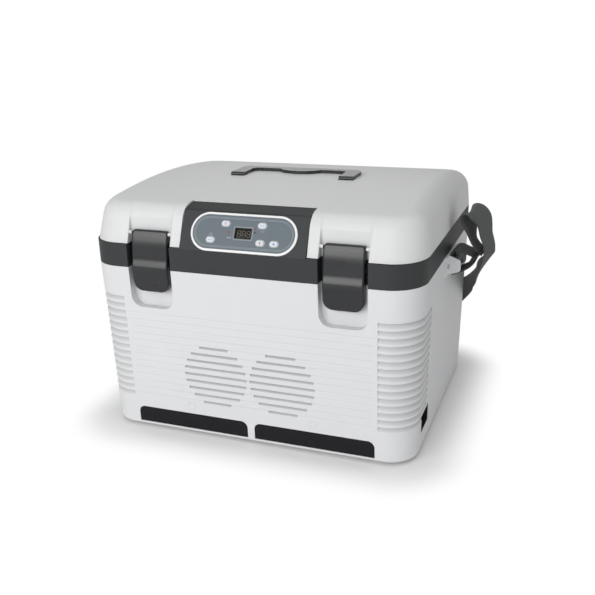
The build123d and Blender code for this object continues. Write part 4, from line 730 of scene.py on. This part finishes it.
# %% [markdown]
# Buttons and their marks
# Each button is a pale satin oval with a small print on its crown. The words of the photograph are
# left off: two buttons carry three plain dots, one a ring with a stroke, two an arrowhead.
# A mark is a band between two outlines, raised a few hundredths above the crown, and it rides on its
# own button, so it goes down with it.

# %% Buttons
button_pale = grained_plastic("button_pale", (0.70, 0.73, 0.77), 0.35, 2600.0, 0.000006)
paint(button_pale, "power_button", "mode_button", "set_button", "down_button", "up_button")
ink_colours = {"red_ink": (0.50, 0.07, 0.08), "blue_ink": (0.05, 0.22, 0.55), "grey_ink": (0.26, 0.31, 0.38)}
red_ink, blue_ink, grey_ink = (
    grained_plastic(name, colour, 0.5, 2600.0, 0.000004, drift=0.15) for name, colour in ink_colours.items())
crown_out = 1.6
ink_out = 1.63


def inked_band(name, button, inner, outer, material, closed=True):
    """Solid band between two outlines on a button's crown; each outline is (across, up) rows."""
    centre = np.array(button_places[button])
    rows = []
    foot = crown_out - 0.1
    for outline, out in ((inner, foot), (inner, ink_out), (outer, ink_out), (outer, foot)):
        shifted = np.asarray(outline) + centre
        rows.append(on_panel(shifted[:, 0], shifted[:, 1], np.full(len(shifted), out)))
    points = np.stack(rows, 1)
    faces = grid_faces(len(points), 4, around=True, along=closed).tolist()
    if not closed:
        last = 4 * (len(points) - 1)
        faces += [[0, 1, 2, 3], [last, last + 1, last + 2, last + 3]]
    return add_piece(name, points, faces, material, button, smooth=False)


def arc(radius, start, end, steps, middle=(0.0, 0.0)):
    """Points of a circle's arc from one angle to another, in degrees from the across direction."""
    angle = np.radians(np.linspace(start, end, steps))
    return np.stack([middle[0] + radius * np.cos(angle), middle[1] + radius * np.sin(angle)], 1)


ring_inner, ring_outer = arc(1.15, 125, 415, 40), arc(1.6, 125, 415, 40)
inked_band("power_mark_ring", "power_button", ring_inner, ring_outer, red_ink, closed=False)
stroke = np.array([(-0.22, 0.3), (0.22, 0.3), (0.22, 1.9), (-0.22, 1.9)])
inked_band("power_mark_stroke", "power_button", 0.01 * (stroke - (0, 1.1)) + (0, 1.1), stroke, red_ink)
for button, turn, ink in (("down_button", 270, red_ink), ("up_button", 90, blue_ink)):
    tip = arc(1.9, turn, turn + 240, 3)
    inked_band(f"{button}_arrow", button, 0.01 * tip, tip, ink)
for button in ("mode_button", "set_button"):
    for count, offset in enumerate((-2.1, 0.0, 2.1)):
        dot = arc(0.62, 0, 345, 24)
        inked_band(f"{button}_dot_{count}", button, 0.01 * dot + (offset, 0), dot + (offset, 0), grey_ink)
print("marks on", len(button_places), "buttons")

# %% [markdown]
# Woven webbing
# The strap is dark olive nylon webbing, 38 mm wide. Close up it is a herringbone: cords about a
# millimetre thick that lean one way for a few cords and then the other, between two plain edges.
# The ribbon carries a UV map in millimetres, across and along itself, so the cords follow every
# bend. One group turns these two numbers into the height, the colour and the gloss of the weave.
# Its colour carries painted shade: darker in the valleys between the cords, lighter on their tops.

# %% Weave group
# The Relief input sets how strongly the painted shade in the colour follows the weave's relief.
weave_group, way_in, way_out = new_group(
    "webbing_weave",
    [("Colour", COLOUR, (0.06, 0.065, 0.06, 1.0)), ("Cord Pitch", FLOAT, 1.1), ("Width", FLOAT, 38.0),
     ("Relief", FLOAT, 0.55)],
    [("Colour", COLOUR, None), ("Height", FLOAT, None), ("Roughness", FLOAT, None)],
)
tree, links = weave_group, weave_group.links
cloth_place = add_node(tree, "ShaderNodeTexCoord")
split = add_node(tree, "ShaderNodeSeparateXYZ")
links.new(cloth_place.outputs["UV"], split.inputs[0])
pitch = way_in.outputs["Cord Pitch"]
strand = calc(tree, "DIVIDE", split.outputs["X"], pitch)
run = calc(tree, "DIVIDE", split.outputs["Y"], pitch)
lean_back = calc(tree, "PINGPONG", strand, 4.0)


def ridges(value, turns=1.0):
    """Absolute sine of the value times turns times pi, so one ridge for each whole number."""
    angle = calc(tree, "MULTIPLY", value, turns * math.pi)
    return calc(tree, "ABSOLUTE", calc(tree, "SINE", angle))


cord_wave, strand_wave = ridges(calc(tree, "ADD", run, lean_back)), ridges(strand)
cords = calc(tree, "MULTIPLY_ADD", cord_wave, 0.7, calc(tree, "MULTIPLY", strand_wave, 0.3))
half_width = calc(tree, "MULTIPLY", way_in.outputs["Width"], 0.5)
edge_gap = calc(tree, "SUBTRACT", half_width, calc(tree, "ABSOLUTE", split.outputs["X"]))
selvedge_width = 1.6
selvedge = calc(tree, "LESS_THAN", edge_gap, selvedge_width)
plain_edge = ridges(run, 2.0)
relief = add_node(tree, "ShaderNodeMix")
links.new(selvedge, relief.inputs[0])
links.new(cords, relief.inputs[2])
links.new(plain_edge, relief.inputs[3])
fibre = add_node(tree, "ShaderNodeTexNoise", in_Scale=6.0, in_Detail=3.0)
links.new(cloth_place.outputs["UV"], fibre.inputs["Vector"])
patch = add_node(tree, "ShaderNodeTexNoise", in_Scale=0.035, in_Detail=2.0)
links.new(cloth_place.outputs["UV"], patch.inputs["Vector"])
height = calc(tree, "MULTIPLY_ADD", fibre.outputs["Fac"], 0.25, relief.outputs[0])
links.new(height, way_out.inputs["Height"])
# Painted shade: the colour gets lighter where the relief stands up and darker in the valleys between the
# cords; the patch noise adds an uneven tone to the cloth.
light = calc(tree, "MULTIPLY_ADD", relief.outputs[0], way_in.outputs["Relief"], 0.62)
light = calc(tree, "MULTIPLY_ADD", patch.outputs["Fac"], 0.2, light)
shade = scale_colour(tree, way_in.outputs["Colour"], light)
links.new(shade, way_out.inputs["Colour"])
gloss = calc(tree, "MULTIPLY_ADD", relief.outputs[0], -0.12, 0.74)
links.new(gloss, way_out.inputs["Roughness"])

webbing, tree, shader = plain_material("webbing_olive", (0.06, 0.067, 0.061), 0.7, Sheen_Weight=0.15)
shader.inputs["Sheen Roughness"].default_value = 0.5
weave = use_group(tree, weave_group, Colour=(0.060, 0.067, 0.061, 1.0), Relief=0.75)
tree.links.new(weave.outputs["Colour"], shader.inputs["Base Color"])
tree.links.new(weave.outputs["Roughness"], shader.inputs["Roughness"])
add_bump(tree, shader, weave.outputs["Height"], 0.00035)

# %% [markdown]
# Carrying webbing along a route
# Webbing is a flat outline, two straight faces and two round edges, carried along a smooth line.
# The line is a NURBS spline through a few points, and a second spline through the points beside
# them says which way the webbing's width lies, so that it can fold, lean and turn on its way. At
# each step the width direction is set square to the line, and the outline is laid across both.

# %% Webbing ribbons
webbing_width = 38.0
webbing_thickness = 1.7


def smooth_route(points, closed=False):
    """Points of a quadratic NURBS spline, read from a Blender curve; millimetres in and out."""
    curve = bpy.data.curves.new("route", "CURVE")
    curve.dimensions = "3D"
    curve.resolution_u = 10
    spline = curve.splines.new("NURBS")
    spline.points.add(len(points) - 1)
    for knot, point in zip(spline.points, points):
        knot.co = (*point, 1.0)
    spline.order_u = 3
    spline.use_endpoint_u = not closed
    spline.use_cyclic_u = closed
    line = bpy.data.objects.new("route", curve)
    mesh = bpy.data.meshes.new_from_object(line)
    found = np.empty(3 * len(mesh.vertices))
    mesh.vertices.foreach_get("co", found)
    bpy.data.objects.remove(line)
    bpy.data.curves.remove(curve)
    bpy.data.meshes.remove(mesh)
    return found.reshape(-1, 3)


def webbing_outline(width, thickness, steps=9, edge_steps=5):
    """Two straight faces and two half circles, as (across, off) rows, counter to the clock."""
    half, bead = (width - thickness) / 2, thickness / 2
    face = np.linspace(-half, half, steps)
    turn = np.linspace(0, math.pi, edge_steps)[1:-1]
    low = np.stack([face, np.full(steps, -bead)], 1)
    right = np.stack([half + bead * np.sin(turn), -bead * np.cos(turn)], 1)
    return np.concatenate([low, right, -low, -right])


def ribbon(name, route, widths, body, closed=False):
    """Webbing along a route: each point plus across times the width and off times the face direction."""
    route, widths = np.asarray(route, float), np.asarray(widths, float)
    line = smooth_route(route, closed)
    beside = smooth_route(route + 10.0 * widths / np.linalg.norm(widths, axis=1)[:, None], closed)
    if closed:
        along = np.roll(line, -1, 0) - np.roll(line, 1, 0)
    else:
        along = np.gradient(line, axis=0)
    along /= np.linalg.norm(along, axis=1)[:, None]
    side = beside - line
    side -= (side * along).sum(1)[:, None] * along
    side /= np.linalg.norm(side, axis=1)[:, None]
    face = np.cross(along, side)
    outline = webbing_outline(webbing_width, webbing_thickness)
    points = line[:, None] + outline[None, :, :1] * side[:, None] + outline[None, :, 1:] * face[:, None]
    rows, columns = points.shape[:2]
    faces = grid_faces(rows, columns, around=True, along=closed)
    steps = np.linalg.norm(np.diff(line, axis=0, append=line[:1]), axis=1)
    reach = np.concatenate([[0.0], np.cumsum(steps)])
    row_of = faces // columns
    row_of[:, 2:] = row_of[:, :1] + 1
    uv = np.stack([outline[faces % columns, 0], reach[row_of]], -1).reshape(-1, 2).tolist()
    faces = faces.tolist()
    if not closed:
        for ring in (range(columns), range((rows - 1) * columns, rows * columns)):
            faces.append(list(ring))
            uv += [[outline[k % columns, 0], reach[k // columns] + outline[k % columns, 1]] for k in ring]
    middle = np.array((0.0, middle_y, 0.0))
    piece = add_piece(name, 0.001 * points + middle, faces, webbing, body, uv=uv)
    length = reach[-1 if closed else -2]
    print(name, "length", round(length), "mm")
    return piece, 0.001 * line + middle, 0.001 * length


loop_route = [
    (223.6, 212.0), (223.6, 227.0), (225.0, 233.5), (229.5, 237.4), (235.5, 237.3), (242.0, 234.0),
    (249.0, 231.9), (253.0, 229.6), (256.1, 226.3), (252.5, 220.4), (247.0, 214.8), (239.0, 209.9),
    (231.0, 206.0), (225.6, 204.4), (223.7, 206.5),
]
for name, turn in (("left", -1), ("right", 1)):
    route = [(turn * x, 0.0, z) for x, z in loop_route]
    piece, line, length = ribbon(f"webbing_loop_{name}", route, [(0, 1, 0)] * len(route), "root", closed=True)
    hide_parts(f"strap_loop_{name}")

# %% [markdown]
# The shoulder strap
# The strap leaves the slider's slot upwards, leans back in a creased fold, comes down outside the
# slider and swings round behind the box at half height to the same on the other side. Each row
# below is a point of its middle line and the way its width lies there, for the right half; the
# left half is the mirror image in reverse order.

# %% Shoulder strap
strap_rows = np.array([
    (263.0, 0.0, 232.6, 0, 1, 0), (260.2, 0.0, 235.7, 0, 1, 0), (255.0, 0.0, 240.4, 0, 1, 0),
    (249.5, 0.0, 248.0, 0, 1, 0), (247.0, 0.0, 260.0, 0.15, 1, 0.1), (244.0, 0.0, 272.0, 0.35, 1, 0.25),
    (241.0, 0.0, 281.0, 0.5, 1, 0.4), (243.0, 0.0, 285.0, 0.5, 1, 0.42), (248.0, 0.0, 286.0, 0.5, 1, 0.4),
    (254.5, 0.0, 284.0, 0.48, 1, 0.3), (260.8, 0.0, 278.0, 0.42, 1, 0.15),
    (263.6, 0.0, 269.0, 0.35, 1, 0.02), (265.0, 0.0, 258.0, 0.3, 1, -0.08),
    (268.0, 0.0, 249.0, 0.28, 1, -0.12), (270.5, 0.0, 239.0, 0.26, 1, -0.1),
    (270.0, 0.0, 228.0, 0.25, 1, 0), (266.0, 8.0, 216.0, 0.25, 0.9, 0.25),
    (257.0, 28.0, 203.0, 0.2, 0.6, 0.7), (249.0, 60.0, 188.0, 0.12, 0.4, 1),
    (240.0, 100.0, 170.0, 0.1, 0.35, 1), (234.0, 140.0, 148.0, 0.15, 0.4, 1),
    (203.0, 206.0, 104.0, 0.1, 0.2, 1), (120.0, 217.0, 56.0, -0.2, 0.1, 1),
    (40.0, 217.0, 34.0, -0.05, 0.05, 1),
])
mirror = np.array((-1.0, 1.0, 1.0, -1.0, 1.0, 1.0))
strap_rows = np.concatenate([strap_rows, strap_rows[::-1] * mirror])
strap, strap_line, strap_length = ribbon("shoulder_webbing", strap_rows[:, :3], strap_rows[:, 3:], "root")
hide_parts("shoulder_strap")

# %% [markdown]
# Metals, boards and foam
# What the lid and the grilles let you see inside needs finishes too: zinc on screws and pins with
# fine turning marks, extruded aluminium with draw lines, green boards with paler tracks, white
# ceramic, and rigid foam with its cells. Each is a small tree on object coordinates.

# %% Inner finishes


def lined_metal(name, colour, roughness, line_scale, stretch):
    """Metal with fine lines: noise squeezed along one direction drives the roughness and the bump."""
    material, tree, shader = plain_material(name, colour, roughness, Metallic=1.0)
    place = add_node(tree, "ShaderNodeTexCoord")
    squeeze = add_node(tree, "ShaderNodeMapping")
    squeeze.inputs["Scale"].default_value = stretch
    lines = add_node(tree, "ShaderNodeTexNoise", in_Scale=line_scale, in_Detail=3.0)
    tree.links.new(place.outputs["Object"], squeeze.inputs["Vector"])
    tree.links.new(squeeze.outputs["Vector"], lines.inputs["Vector"])
    rough = calc(tree, "MULTIPLY_ADD", lines.outputs["Fac"], 0.3, roughness - 0.12)
    tree.links.new(rough, shader.inputs["Roughness"])
    darker, lighter = (tuple(min(1.0, part * c) for c in colour) for part in (0.82, 1.12))
    toned = mix_colour(tree, lines.outputs["Fac"], darker, lighter)
    tree.links.new(toned, shader.inputs["Base Color"])
    add_bump(tree, shader, lines.outputs["Fac"], 0.00002, 0.6)
    return material


zinc = lined_metal("zinc_steel", (0.56, 0.57, 0.58), 0.35, 900.0, (1.0, 1.0, 1.0))
aluminium = lined_metal("drawn_aluminium", (0.74, 0.75, 0.76), 0.38, 700.0, (1.0, 1.0, 0.03))
paint(zinc, "fan_screws", "base_screws", "lug_screws", "hinge_pins", "lid_screws")
blackened = lined_metal("blackened_steel", (0.045, 0.046, 0.048), 0.45, 900.0, (1.0, 1.0, 1.0))
paint(blackened, "handle_pins", "latch_pins")
paint(aluminium, "heat_sink_left", "heat_sink_right", "transfer_blocks", "cold_sink")

ceramic = grained_plastic("white_ceramic", (0.80, 0.79, 0.75), 0.6, 1200.0, 0.00001)
paint(ceramic, "peltier_modules")

foam, tree, shader = plain_material("rigid_foam", (0.72, 0.66, 0.48), 0.9)
cells = object_texture(tree, "ShaderNodeTexVoronoi", in_Scale=700.0)
# Painted shade: the cells' hollows, low in the bump, are darker in colour than the cell walls.
toned = mix_colour(tree, cells.outputs["Distance"], (0.60, 0.54, 0.38), (0.80, 0.75, 0.58))
tree.links.new(toned, shader.inputs["Base Color"])
add_bump(tree, shader, cells.outputs["Distance"], 0.0003)
paint(foam, "insulation_foam", "lid_foam")

board, tree, shader = plain_material("circuit_board", (0.02, 0.12, 0.05), 0.45, Coat_Weight=0.3)
tracks = object_texture(
    tree, "ShaderNodeTexVoronoi", feature="DISTANCE_TO_EDGE", distance="MANHATTAN", in_Scale=160.0)
on_track = calc(tree, "LESS_THAN", tracks.outputs["Distance"], 0.09)
toned = mix_colour(tree, calc(tree, "MULTIPLY", on_track, 0.6), (0.015, 0.10, 0.04), (0.05, 0.26, 0.10))
tree.links.new(toned, shader.inputs["Base Color"])
add_bump(tree, shader, on_track, 0.00005, 0.5)
paint(board, "control_board", "power_supply")
